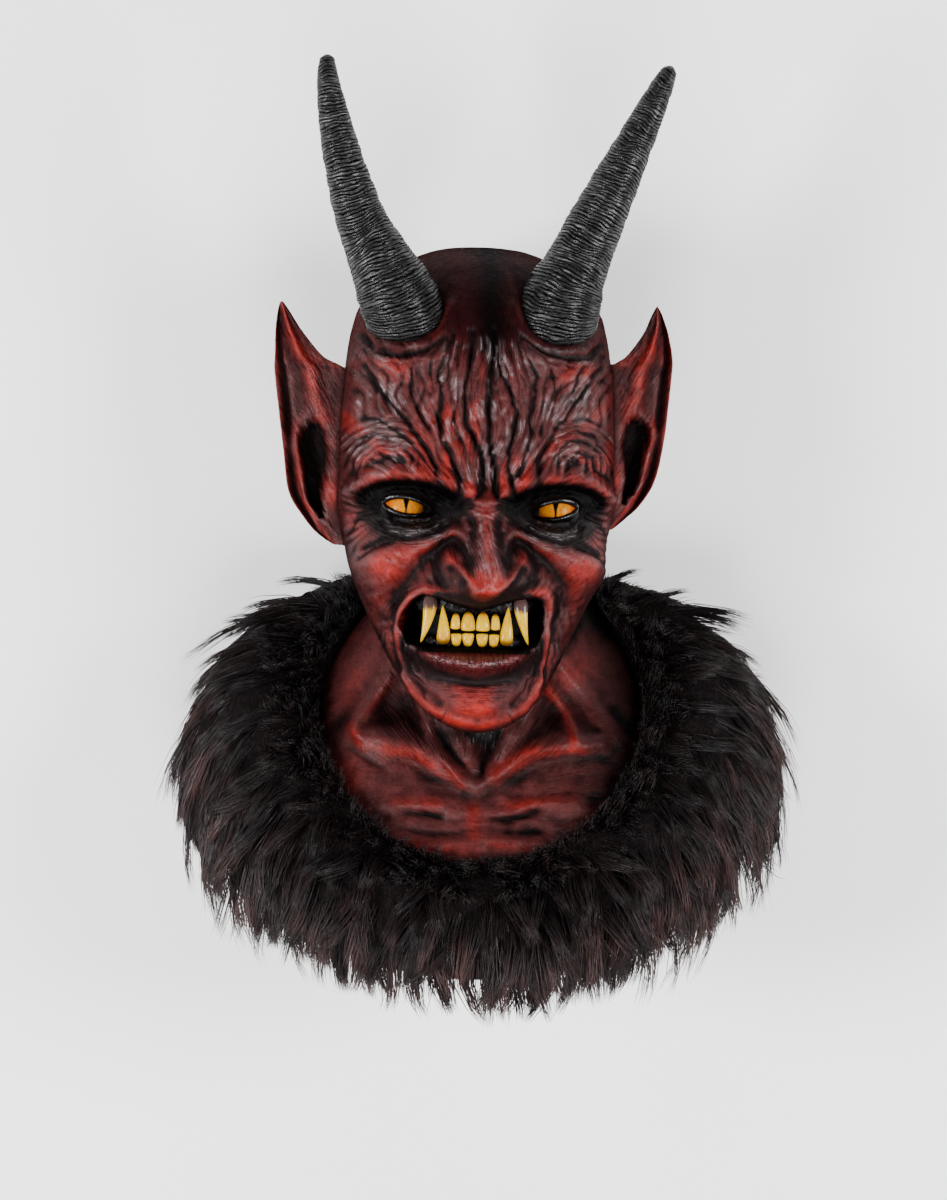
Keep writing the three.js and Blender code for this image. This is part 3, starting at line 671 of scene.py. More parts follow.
def set_values(made, name, values, kind="FLOAT"):
    """Numbers, vectors or colours of the vertices, which the material reads by their name."""
    attribute = made.data.attributes.new(name, kind, "POINT")
    attribute.data.foreach_set(VALUE_KEYS[kind], values.astype(np.float32).ravel())


def set_colour(made, colours):
    opaque = np.ones((len(colours), 1))
    set_values(made, "paint", np.concatenate([np.maximum(colours, 0), opaque], 1), "FLOAT_COLOR")


def shade_smooth(made):
    made.data.polygons.foreach_set("use_smooth", np.ones(len(made.data.polygons), bool))


# The skin

# Each ear from the lobe to the tip: height, and how far its inner and outer edge are from the middle
EARS = {
    1: np.array([
        [46, 80, 87], [54, 77, 96], [64, 76, 106], [80, 76, 115], [105, 76, 120], [125, 77, 122],
        [148, 81, 124], [158, 94, 124], [173, 105, 121], [185, 110, 117], [191, 113, 114],
    ], float),
    -1: np.array([
        [32, 82, 88], [40, 78, 100], [50, 77, 109], [66, 76, 119], [92, 76, 123], [120, 77, 127],
        [143, 83, 130], [152, 99, 130], [168, 113, 130], [180, 121, 129], [187, 126, 127.5],
    ], float),
}

# The flap's ridge, as share of the height and of the width, and the hole, with its half width
EAR_FLAP = np.array([
    [0.0, 0.42], [0.48, 0.44], [0.53, 0.52], [0.6, 0.52], [0.7, 0.46], [0.78, 0.44], [0.9, 0.46], [1.0, 0.5],
])
EAR_HOLE = np.array([
    [0.19, 0.64, 0.02], [0.25, 0.63, 0.09], [0.32, 0.61, 0.12], [0.37, 0.58, 0.16], [0.41, 0.59, 0.19],
    [0.44, 0.59, 0.16], [0.475, 0.56, 0.03],
])
EAR = dict(depth=120, sweep=7, thickness=8, columns=56, rows=64)
HEAD, EAR_PART, CHEST, INSIDE = range(4)
# How far the hollow lies behind the relief, besides the wall
HEAD_LINING, CHEST_LINING = 6, 2


def ear_points(side):
    levels = EARS[side]
    share = np.linspace(0, 1, EAR["rows"])[:, None]
    turn = turns(EAR["columns"])[None, :]
    up = 1 - share
    y, inner, outer = np.moveaxis(along(levels, up * (len(levels) - 1)), -1, 0)
    across = 0.5 + 0.5 * np.sin(turn) * side + 0 * share
    x = inner + (outer - inner) * across
    closing = smooth(0, 0.18, share) * smooth(0, 0.1, up)
    rise, hole = ear_relief(across, up)
    z = EAR["depth"] - EAR["sweep"] * across ** 2
    back = z - (EAR["thickness"] + 10 * hole) * np.maximum(closing, 0.35)
    return np.stack([side * x, y + 0 * across, np.where(np.cos(turn) > 0, z + rise * closing, back)], -1)


def ear_hole_line(up):
    """The middle and half width of the ear's hole at each height."""
    return (np.interp(up, EAR_HOLE[:, 0], EAR_HOLE[:, k]) for k in (1, 2))


def ear_hole(across, up):
    middle, half = ear_hole_line(up)
    within = (up > EAR_HOLE[0, 0]) & (up < EAR_HOLE[-1, 0])
    return smooth(1.25, 0.75, np.abs(across - middle) / half) * within


def ear_tragus(across, up, height):
    """The small knob in front of the hole."""
    return bell(np.hypot((across - 0.34) / 0.13, (up - 0.3) / height))


def ear_relief(across, up):
    """How far the ear's front stands out, and where its hole is."""
    flap = np.interp(up, *EAR_FLAP.T)
    hole = ear_hole(across, up)
    above = smooth(0.42, 0.5, up)
    rise = 5.5 * bell((across - flap) / 0.12) * above
    rise = rise + 3.0 * smooth(flap, flap - 0.3, across) * above - 4.0 * bell((across - 0.72) / 0.12) * above
    rise = rise + 3.5 * smooth(0.9, 1, across) - 4.5 * bell((across - 0.87) / 0.05) * smooth(0.12, 0.25, up)
    middle, half = ear_hole_line(up)
    beside = np.abs(across - middle) / np.maximum(half, 0.02)
    rise = rise + 2.5 * bell((beside - 1.45) / 0.4) * smooth(0.16, 0.24, up) * (1 - above) - 12 * hole
    lobe_fold = bell((across - 0.5 - 1.6 * (up - 0.1)) / 0.08) * band(0.03, 0.08, 0.16, 0.24, up)
    rise = rise + 6 * ear_tragus(across, up, 0.045) + 2.2 * lobe_fold
    comb = creases(up * 30 + across * 12 + 0.8 * noise(across * 7 + 9, up * 24 + 9, 43), 0.8)
    combed = above * smooth(0.82, 0.72, up) * smooth(flap + 0.04, flap - 0.1, across)
    uneven = 0.5 * noise(across * 9 + 9, up * 26 + 9, 42) + 0.35 * noise(across * 19 + 9, up * 50 + 9, 44)
    return rise + 0.8 * comb * combed + uneven, hole


def ear_place(x, y):
    """Shares of the ear's width and height at a place of the head's frame."""
    share = np.linspace(0, 1, 400)
    found = []
    for side in (1, -1):
        rows = along(EARS[side], share * (len(EARS[side]) - 1))
        up = np.interp(y, rows[:, 0], share)
        inner, outer = (np.interp(up, share, rows[:, k]) for k in (1, 2))
        found.append(((np.abs(x) - inner) / np.maximum(outer - inner, 1), up))
    return [np.where(x < 0, right, left) for left, right in zip(*found)]


def spread(weight, places, count, closed):
    """count of the places, closest together where the weight is high."""
    share = np.concatenate([[0], np.cumsum((weight[1:] + weight[:-1]) / 2)])
    return np.interp(np.linspace(0, share[-1], count, endpoint=closed), share, places)


def head_turns(columns):
    turn = np.linspace(-np.pi, np.pi, 2001)
    side = np.abs(turn)
    return spread(0.2 + bell(side / 1.05) + 0.5 * bell((side - 0.52) / 0.2), turn, columns, False)


def head_rows(rows):
    level = np.linspace(0, len(HEAD_LEVELS) - 1, 4001)
    y, width, _, front, _ = along(HEAD_LEVELS, level).T
    step = np.sqrt(np.gradient(y) ** 2 + 0.4 * np.gradient(width) ** 2 + 0.4 * np.gradient(front) ** 2)
    weight = 0.42 + 0.58 * smooth(180, 150, y) + 0.6 * bell((y - 57) / 12) + 0.4 * bell((y + 14) / 24)
    return spread(step * weight, level, rows, True)


def head_points(turn, level, by, relief):
    """The head, moved outwards by so much, lying on the surface at its back."""
    last = len(HEAD_LEVELS) - 1
    turn, level = np.meshgrid(turn, level)
    points = head_surface(turn, level, relief)
    if by:
        points = points + by * normals_of(head_surface, turn, np.clip(level, 0.1, last - 0.1), relief)
    points[0] = head_surface(0 * turn[0], 0 * level[0], flat) + [0, by, 0]
    points[-1] = head_surface(0 * turn[-1], level[-1], flat) - [0, by, 0]
    points = placed(points)
    points[..., 2] = np.maximum(points[..., 2], -by)
    return points


def drape_points(columns, rows, by, end, relief):
    """The neck and chest, moved outwards by so much, down to the ring called end."""
    s = np.linspace(0, end, 2001)
    s = spread(0.3 + 0.7 * band(1.0, 1.5, 4.2, 4.7, s), s, rows - 2, True)
    turn, s = np.meshgrid(turns(columns, FACE_CROWDING), np.concatenate([[0], s, [end]]))
    points = drape_surface(turn, s, relief)
    if by:
        points = points + by * normals_of(drape_surface, turn, s, relief)
    return points


def labelled(name, points, number):
    """A closed grid whose faces carry the number of the part that they belong to."""
    made = new_object(name, *grid_mesh(points))
    for k in range(4):
        made.data.materials.append(bpy.data.materials.get(f"part_{k}") or bpy.data.materials.new(f"part_{k}"))
    made.data.polygons.foreach_set("material_index", np.full(len(made.data.polygons), number, np.int32))
    return made


def head_lining(x, y):
    return behind(broad_face)(x, y) - HEAD_LINING + 1.2 * masses_at(x, y, HORN_SEATS)


def chest_lining(x, y):
    return behind(broad_chest)(x, y) - CHEST_LINING


def make_skin():
    """Head, ears and chest as one casting, hollow and open at the hem."""
    face = head_points(head_turns(HEAD_COLUMNS), head_rows(HEAD_ROWS), 0, full_face)
    made = labelled("latex_mask", face, HEAD)
    ears = [labelled("ear", placed(ear_points(side)), EAR_PART) for side in (1, -1)]
    chest = labelled("chest", drape_points(DRAPE_COLUMNS, DRAPE_ROWS, 0, HEM, full_chest), CHEST)
    combined(made, ears + [chest], "UNION")
    heights = np.linspace(HEAD_LEVELS[0, 0], HEAD_LEVELS[-1, 0], HOLLOW["head_rows"])
    levels = np.interp(-heights, -HEAD_LEVELS[:, 0], np.arange(len(HEAD_LEVELS)))
    inner_head = head_points(turns(HOLLOW["columns"], FACE_CROWDING), levels, -WALL, head_lining)
    inner_chest = drape_points(HOLLOW["columns"], HOLLOW["chest_rows"], -WALL, HEM + 1, chest_lining)
    hollow = labelled("head_hollow", inner_head, INSIDE)
    combined(hollow, [labelled("chest_hollow", inner_chest, INSIDE)], "UNION")
    return combined(made, [hollow], "DIFFERENCE")


class Surface:
    """A mesh's points with what is needed to smooth them and to find its hollows."""

    def __init__(self, made):
        self.made = made
        self.count = len(made.data.vertices)
        self.points = vertices_of(made)
        edges = read(made.data.edges, "vertices", 2)
        self.ends = np.concatenate([edges[:, 0], edges[:, 1]])
        self.others = np.concatenate([edges[:, 1], edges[:, 0]])
        self.degree = np.bincount(self.ends, minlength=self.count).clip(1)

    def mean(self, values):
        """The mean over each vertex's neighbours."""
        if values.ndim == 2:
            return np.stack([self.mean(column) for column in values.T], -1)
        return np.bincount(self.ends, values[self.others], self.count) / self.degree

    def parts(self, number_of_parts):
        """The share of each part in the faces round each vertex."""
        data = self.made.data
        corner = read(data.loops, "vertex_index")
        number = np.repeat(read(data.polygons, "material_index"), read(data.polygons, "loop_total"))
        total = np.bincount(corner, minlength=self.count).clip(1)
        return [np.bincount(corner, number == k, self.count) / total for k in range(number_of_parts)]

    def hollows(self, normals, rounds):
        """How far each vertex lies below the surface round it, at wider and wider ranges."""
        found, eased, done = [], self.points.copy(), 0
        for wanted in rounds:
            while done < wanted:
                eased = 0.5 * eased + 0.5 * self.mean(eased)
                done += 1
            found.append(((eased - self.points) * normals).sum(1))
        return found


def wrinkle_skull(surface, normals, parts):
    """Slack folds of the latex on the back and sides of the head."""
    local = unplaced(surface.points)
    turn, y = np.arctan2(local[:, 0], local[:, 2] - 112), local[:, 1]
    nape = creases((y + 7 * noise(turn * 2 + 9, y / 30 + 9, 24)) / 9, 0.6) * smooth(80, 20, y)
    crown = creases(turn * 7 + 1.5 * noise(turn * 3 + 9, y / 26 + 9, 25), 0.6) * smooth(60, 110, y)
    uneven = noise(turn * 9 + 9, y / 12 + 9, 26) + 0.5 * noise(turn * 20 + 9, y / 6 + 9, 27)
    sink = 1.5 * (0.4 - nape) + 1.1 * (0.4 - crown) * (0.6 + 0.4 * uneven) + 0.4 * (1 - uneven)
    where = smooth(0.1, -0.4, normals[:, 2]) * parts[HEAD] * (parts[INSIDE] == 0)
    surface.points -= normals * (sink * where)[:, None]


def join(parts, a, b):
    """1 where two parts meet."""
    return ((parts[a] > 0) & (parts[b] > 0)).astype(float)


def ease_joins(surface, parts, reach=4, rounds=10):
    """Rounds off the lines along which ears, head and chest meet."""
    near_join = np.maximum(join(parts, HEAD, EAR_PART), 0.7 * join(parts, HEAD, CHEST))
    for _ in range(reach):
        near_join = np.maximum(near_join, surface.mean(near_join))
    outside = (parts[INSIDE] == 0)[:, None]
    for _ in range(rounds):
        surface.points += (surface.mean(surface.points) - surface.points) * near_join[:, None] * outside

# Paint, as [path of (side, height), width, amount]

RED_PLACES = [
    ([(8, 63), (11, 70)], 4.5, 1.2),
    ([(24, 67), (24, 83)], 5.2, 1.5),
    ([(52, 84), (62, 86), (72, 82)], 5.5, 0.9),
    ([(36, 73), (60, 74), (76, 68)], 3.5, 1.0),
    ([(40, 70), (42, 78)], 4, 0.6),
    ([(-2, 50), (-2, 34), (-1, 12)], 5.5, 1.5),
    ([(0, 14), (1, 8)], 6.5, 1.2),
    ([(24, 28), (20, 21), (15, 14), (8, 6)], 3.2, 1.0),
    ([(37, 32), (29, 37), (22, 40)], 3.4, 1.1),
    ([(36, 30), (52, 26), (66, 20)], 7, 0.66),
    ([(56, 16), (66, 22), (72, 30)], 8, 0.45),
    ([(60, 12), (62, 2)], 6, 0.4),
    ([(76, 40), (80, 54)], 5, 0.5),
    (MOUTH_FOLD, 3.4, 0.85),
    ([(-8, -62), (6, -66)], 7, 0.95),
    ([(-4, -56), (14, -54)], 5, 0.3),
    ([(62, -6), (60, -24)], 5, 0.5),
    ([(62, 142), (52, 140)], 6, 0.7),
]
# Black paint round the eyes; dark paint along the creases beside the nose, mouth and brows, partly black wash
# and partly painted shade; and painted shade on the upper lip's edge over the teeth
DARK_PLACES = [
    ([(18, 58), (27, 63), (36, 66), (50, 67.5), (64, 66), (73, 62)], 5.0, 2.0),
    ([(21, 54), (27, 47), (36, 43), (46, 41.5), (57, 43), (66, 51)], 6.5, 1.9),
    ([(30, 56), (46, 56), (62, 57)], 7.5, 1.5),
    ([(10, 57), (18, 55)], 3.4, 0.8),
    ([(28, 31), (25.5, 35), (20.5, 37), (17, 34), (14, 29), (12, 22)], 2.4, 0.3),
    ([(27, 32), (34, 27), (43, 18), (51, 8), (55, -4), (54, -24), (49, -42)], 6.5, 0.4),
    ([(7.5, 48), (9, 36), (11, 22)], 4.2, 0.5),
    ([(21, 18), (17, 12)], 4, 0.5),
    ([(28, 10), (14, 5)], 6, 0.5),
    ([(31, 24), (29, 12)], 3.6, 0.7),
    ([(38, 0), (41, -12), (41, -28), (38, -44)], 3.2, 0.9),
    ([(34, -36), (28, -47), (18, -51)], 5.5, 0.5),
    ([(31, -40), (18, -47), (0, -51)], 3.2, 0.2),
    ([(28, 2), (16, 0), (8, -3), (0, -5)], 2.6, 1.6),
    ([(72, 31), (61, 37), (50, 38)], 2.2, 0.9),
    ([(66, 54), (74, 50)], 4, 0.5),
    ([(64, 84), (50, 84)], 2.6, 0.5),
]
CHEST_RED = [
    ([(-82, -80), (-76, -91), (-60, -94)], 2.8, 1.0),
    ([(-60, -94), (-45, -97), (-33, -103), (-14, -114)], 4.8, 1.3),
    ([(64, -94), (50, -94)], 2.6, 0.9),
    ([(46, -94), (32, -95), (22, -100), (8, -109)], 5.0, 1.3),
    ([(40, -55), (50, -66), (57, -80), (59, -90)], 2.6, 1.0),
    ([(-60, -54), (-72, -72)], 2.0, 0.5),
    ([(-54, -126), (-28, -127)], 3.4, 0.7),
    ([(14, -129), (46, -125)], 3.6, 0.8),
    ([(-5, -130), (-5, -150), (-4, -164)], 4.5, 0.6),
    ([(-52, -151), (-12, -155)], 4.0, 0.7),
    ([(6, -152), (38, -154)], 3.5, 0.6),
    ([(-86, -108), (-78, -132)], 9, 0.5),
    ([(52, -124), (60, -134)], 7, 0.4),
    ([(50, -52), (62, -44)], 9, 0.6),
    ([(-78, -50), (-84, -64)], 8, 0.5),
    ([(-6, -92), (-10, -104)], 4, 0.3),
]
# Dark paint in the hollows and creases of the neck and chest, partly dark wash and partly painted shade
CHEST_DARK = [
    ([(-22, -84), (-8, -84), (8, -84)], 6, 0.7),
    ([(-20, -92), (-10, -108)], 5, 0.35),
    ([(8, -90), (0, -106)], 4, 0.35),
    ([(-64, -70), (-56, -84), (-42, -84), (-48, -68)], 8, 0.32),
    ([(26, -70), (30, -84), (48, -86), (44, -70)], 7, 0.3),
    ([(-34, -60), (0, -74), (28, -58)], 7, 0.45),
    ([(-60, -112), (60, -112)], 4.5, 0.35),
    ([(-56, -130), (-40, -133), (-25, -135)], 2.4, 0.75),
    ([(5, -137), (18, -137), (36, -131)], 2.6, 0.8),
    ([(-44, -144), (-12, -146)], 4.4, 0.35),
    ([(8, -146), (42, -143)], 4.4, 0.35),
    ([(-10, -121), (4, -123)], 4.0, 0.3),
]
RED = np.array([0.20, 0.0115, 0.0085])
DUSK = np.array([0.056, 0.0125, 0.0125])
CROWN_RED = np.array([0.0125, 0.0021, 0.0025])
LIP_RED = np.array([0.060, 0.0046, 0.0056])
BLACK = np.array([0.0012, 0.0008, 0.0009])
# Dark wash for the creases and hollows, which also serves as painted shade
DARK_PAINT_AND_SHADE = np.array([0.0080, 0.0042, 0.0045])
RAW_LATEX = np.array([0.20, 0.09, 0.055])
# Where the sockets are darkest, and the creases beside the nose
SOCKET_PLACES = [DARK_PLACES[0], DARK_PLACES[2]]
NOSE_CREASES = DARK_PLACES[5:10]
CHEST_DUSK, CHEST_TONE = DUSK * 0.85, RED * 0.62


def blend(a, b, t):
    """From a to b by the share t of each vertex; either may be one colour for all."""
    return a + (b - a) * clamp(t)[:, None]


def sum_near(x, y, places):
    return sum(amount * near(x, y, path, width) for path, width, amount in places)


class Canvas:
    """What the paint goes by: where each vertex lies, how it faces, how deep it is, and the face's areas."""

    def __init__(self, surface, parts):
        normals = normals_at(surface.made)
        fine, middle, broad = surface.hollows(normals, (4, 18, 70))
        self.on_head, self.on_ear, self.on_chest, self.inside = parts
        self.local = unplaced(surface.points)
        self.x, self.y = x, y = self.local[:, 0] - midline(self.local[:, 1]), self.local[:, 1]
        self.side = side = np.abs(x)
        self.cx, self.cy = surface.points[:, 0], surface.points[:, 1]
        self.forward = normals[:, 2]
        self.ahead = smooth(-0.2, 0.3, self.forward)
        recess = clamp(0.4 * fine / 0.22 + 1.1 * middle / 0.9 + 0.45 * broad / 2.6, -1.5, 1.5)
        self.recess = surface.mean(recess)
        self.ridge = smooth(0.2, 1.1, -(0.8 * fine / 0.16 + 0.5 * middle / 0.9))
        self.patches = noise(x / 16, y / 16, 51) + 0.6 * noise(x / 7, y / 7, 52)
        worn = noise(x / 9 + 40, y / 13 + 40, 55) + 0.5 * noise(x / 4 + 40, y / 5 + 40, 56)
        self.worn = smooth(-0.3, 0.5, worn)
        self.sunk = -forehead_furrows(x, y)
        self.reach, self.turn = np.hypot(x, y - 40), np.arctan2(x, y - 40)
        self.forehead = band(24, 44, 118, 140, self.reach) * smooth(1.3, 1.0, np.abs(self.turn))
        self.mouth = in_mouth(x, y)
        self.socket = clamp(sum_near(side, y, SOCKET_PLACES) * smooth(44, 53, y))
        self.bag = near(side, y, [(30, 50), (46, 44), (61, 50)], 7) * (1 - self.socket)
        lip = near(side, y, [(29, -32), (16, -36.5), (0, -38.5)], 6.8)
        self.lip = lip * (1 - self.mouth) * smooth(-28, -30.5, y)
        self.inner_lip = smooth(-33.6, -31.2, y) * smooth(38, 32, side) * smooth(-20, -26, y)
        self.throat_shade = smooth(-55, -20, self.cy)
        self.across, self.up = ear_place(self.local[:, 0], self.local[:, 1])
        self.hole = ear_hole(self.across, self.up)


def head_paint(c):
    """Red over black on the raised places, darker towards the crown, and black in the folds, partly as black
    wash and partly as painted shade, which also darkens the sides that turn away.
    """
    streaks = noise(c.turn * 8, c.reach / 34, 53) + 0.4 * noise(c.turn * 20, c.reach / 24, 54)
    red = sum_near(c.side, c.y, RED_PLACES) * (0.85 + 0.35 * c.patches)
    red = red + 0.55 * smooth(0.15, 0.75, streaks) * c.forehead
    # Less red in the hollows, as part of their painted shade
    paint = blend(DUSK, RED, red * c.ahead * (1 - 0.75 * clamp(c.recess)) + 0.1 * c.patches)
    paint = blend(paint, LIP_RED, 1.8 * c.lip)
    crown = smooth(138, 172, c.y + 4 * c.patches) * (0.3 + 0.7 * smooth(0.3, 0.8, c.forward))
    paint = blend(paint, CROWN_RED, crown)
    wings = near(c.side, c.y, [(14, 22), (24, 35), (36, 26), (46, 10)], 8)
    # Painted shade where the face turns away at its sides
    turned_away_shade = smooth(0.65, 0.15, c.forward) * (0.45 + 0.35 * smooth(70, 40, c.y))
    # Black wash along the creases and in the forehead's furrows, which also paints their shade, and painted
    # shade in the hollows, less on the nose's wings
    dark = sum_near(c.side, c.y, DARK_PLACES) + 0.68 * smooth(0.1, 1.1, c.sunk / 3.4) * c.on_head
    deep = 0.9 * clamp(c.recess) * (0.6 + 0.4 * c.ahead) * (1 - 0.35 * wings)
    paint = blend(paint, DARK_PAINT_AND_SHADE, dark * c.ahead + turned_away_shade + deep)
    stripe = bell((c.x - 2) / (3 + 8 * smooth(120, 178, c.y))) * smooth(96, 150, c.y)
    # The lower lip's inner wall under the teeth is painted black as its shade
    black = 0.95 * stripe + 2 * c.mouth + c.socket + 0.5 * c.bag + 1.5 * c.inner_lip
    return blend(paint, BLACK, black * c.ahead)


def ear_paint(c):
    """Red rims and ridges round a black hole, with painted shade in the hollows and on the back, which faces
    away.
    """
    across, up = c.across, c.up
    flap = np.interp(up, *EAR_FLAP.T)
    red = 1.1 * bell((across - flap) / 0.07) * smooth(0.44, 0.5, up) + 0.8 * smooth(0.93, 1.0, across)
    red = red + 0.9 * ear_tragus(across, up, 0.05) + 0.8 * bell((across - 0.8) / 0.06) * smooth(0.5, 0.4, up)
    red = red + 0.8 * bell((up - 0.68) / 0.08) * (across < flap)
    dark = 1.7 * c.hole + 0.3 * bell((across - 0.88) / 0.045) * smooth(0.14, 0.3, up)
    dark = dark + 0.7 * smooth(flap - 0.1, flap - 0.35, across) * smooth(0.6, 0.72, up)
    paint = blend(DUSK, RED, (red + 0.25 * c.patches) * c.ahead)
    # Painted shade: darker in the hollows, and on the back, which faces away
    paint = blend(paint, DARK_PAINT_AND_SHADE, dark * c.ahead + 0.6 * clamp(c.recess))
    return blend(paint, BLACK, 0.5 * c.hole + 0.25 * (1 - c.ahead))


def chest_paint(c):
    """Duller red along the collarbones and ribs, black towards the collar of fur, and painted shade in the
    hollows and creases and up under the jaw.
    """
    edge = smooth(0.62, 1.0, np.hypot((c.cx + 8) / 104, (c.cy + 66) / 112)) * (c.cy < 40)
    edge = edge * (1 - 0.65 * smooth(-120, -150, c.cy))
    dark = sum_near(c.cx, c.cy, CHEST_DARK) * rib_taper(c.cx, c.cy)
    # Painted shade in the hollows and up under the jaw
    dark = dark + 0.9 * edge + 0.6 * clamp(c.recess) + 0.4 * smooth(-40, 0, c.cy)
    paint = blend(CHEST_DUSK, CHEST_TONE, sum_near(c.cx, c.cy, CHEST_RED) * (0.8 + 0.4 * c.patches))
    return blend(paint, BLACK, dark)


def dry_brushing(c):
    """How much grey dust each place carries: on ridges, and most on the forehead, nose and mouth."""
    side, y = c.side, c.y
    zones = 0.14 + c.forehead * c.worn * (0.75 + 0.35 * bell((c.x + 5) / 16))
    beside_mouth = near(side, y, [(40, 2), (41, -24), (36, -48), (24, -58)], 8)
    zones = zones + 0.4 * beside_mouth * (1 - c.lip) + 0.7 * c.bag
    zones = zones + 0.7 * near(c.x, y, [(-2, 50), (-2, 30), (0, 12)], 9)
    zones = zones + 0.4 * near(side, y, [(20, 48), (28, 38)], 8) + 0.45 * sum_near(side, y, NOSE_CREASES)
    zones = zones + 0.4 * near(side, y, [(0, -60), (18, -56)], 11)
    zones = zones + 0.35 * near(side, y, [(40, 30), (64, 22), (62, -4)], 9)
    beside_furrows = bell((c.sunk - 1.3) / 0.7) * c.forehead * c.worn
    dry = (c.ridge * zones + 0.55 * beside_furrows) * c.on_head * c.ahead * (1 - c.mouth)
    dry = dry * (1 - 0.75 * c.socket) * (1 - 0.7 * smooth(148, 170, y))
    neck = bell((c.cx + 6) / 34) * smooth(-112, -96, c.cy)
    throat = near(c.cx, c.cy, [(-30, -66), (-6, -84), (-6, -110), (20, -66)], 13)
    on_chest = (0.06 + 0.4 * neck) * c.ridge * c.worn + 0.35 * throat
    return dry + (0.35 * c.ridge * c.on_ear + on_chest * c.on_chest) * c.ahead


def wetness(c, paint):
    """Gloss of the lip and the bags under the eyes, and a faint one on all bright paint."""
    lip_edge = near(c.side, c.y, [(30, 2), (18, 1), (8, -2), (0, -4)], 6)
    matt = smooth(138, 172, c.y) + lip_edge + c.mouth + c.inner_lip
    matt = matt + c.on_ear * c.hole + c.on_chest * c.throat_shade
    bright = smooth(0.002, 0.03, paint.mean(1))
    wet = c.on_head * (0.45 * c.bag + 1.3 * c.lip * smooth(-33.5, -36, c.y))
    return wet + 0.3 * (1 - clamp(matt)) * (0.1 + 0.9 * bright)


def paint_skin(surface, parts):
    made, c = surface.made, Canvas(surface, parts)
    colours = (head_paint(c), ear_paint(c), chest_paint(c), RAW_LATEX)
    paint = sum(part[:, None] * colour for part, colour in zip(parts, colours))
    sunken = c.on_head * c.socket + c.mouth + c.inner_lip + c.on_chest * c.throat_shade
    set_colour(made, paint)
    set_values(made, "dry", clamp(dry_brushing(c) * (1 - c.inside)) - 0.3 * clamp(sunken))
    set_values(made, "gloss", clamp(wetness(c, paint) * (1 - c.inside)))
    comb_skin(made, c)


def comb_skin(made, c):
    """The run of the finest wrinkles at each place: across them, along them, and how strong they are."""
    x, y, side, cx, cy = c.x, c.y, c.side, c.cx, c.cy
    turn, reach, here = strand_field(x, y)
    arcs, arched = brow_arcs(x, y)
    bag_turn = np.arctan2(side - BAG_MIDDLE[0], BAG_MIDDLE[1] - y)
    feet_turn, feet_reach = polar(side, y, EYE_CORNER)
    rim = distance(side, y, MOUTH_RING)
    fields = [
        (turn * 44, reach / 12, here * (1 - 0.9 * arched) * (1 - 0.8 * smooth(150, 182, y))),
        (arcs / 1.6, np.arctan2(side - BROW_MIDDLE[0], y - BROW_MIDDLE[1]) * 3, 1.1 * arched),
        (bag_reach(x, y) / 1.2, bag_turn * 2.6,
         1.3 * smooth(1.5, 0.9, np.hypot((side - 46) / 27, (y - 46) / 13))),
        (feet_turn * 13, feet_reach / 8, bell(feet_reach / 26) * smooth(58, 68, side)),
        (x / 1.5, y / 6, 1.3 * near(side, y, LIP_LINE, 7)),
        (rim / 1.5, y / 9, 0.9 * bell((rim - 6) / 6) * smooth(14, 2, y)),
        (y / 1.7, x / 10, 0.8 * bell(np.hypot(x / 30, (y + 58) / 9))),
        ((x + 0.25 * (y - 30)) / 1.5, y / 8, 0.8 * bell(np.hypot(side / 26, (y - 32) / 24))),
        ((side * 0.75 - y * 0.65) / 1.8, (side * 0.65 + y * 0.75) / 9,
         0.45 * bell(np.hypot((side - 62) / 18, (y - 10) / 34))),
    ]
    fields = [(u, v, weight * c.on_head) for u, v, weight in fields]
    out = np.abs(c.local[:, 0])
    fields.append(((out * 0.86 - y * 0.5) / 1.8, (out * 0.5 + y * 0.86) / 11, c.on_ear))
    strings = smooth(-106, -96, cy) * smooth(70, 46, np.abs(cx + 6))
    fields.append((np.arctan2(cx + 6, cy + 135) * 36, cy / 12, 0.7 * strings * c.on_chest))
    fields.append(((cy + 9 * noise(cx / 30, cy / 20, 33)) / 1.7, cx / 8, 0.16 * (1 - strings) * c.on_chest))
    across, onward, weights = (np.stack(rows) for rows in zip(*fields))
    best, place = weights.argmax(0), np.arange(len(x))
    ordered = np.sort(weights, 0)
    way = np.stack([across[best, place], onward[best, place], 7.3 * best], -1)
    set_values(made, "combed_way", way, "FLOAT_VECTOR")
    set_values(made, "combed", clamp(1.6 * (ordered[-1] - ordered[-2])))


# Materials

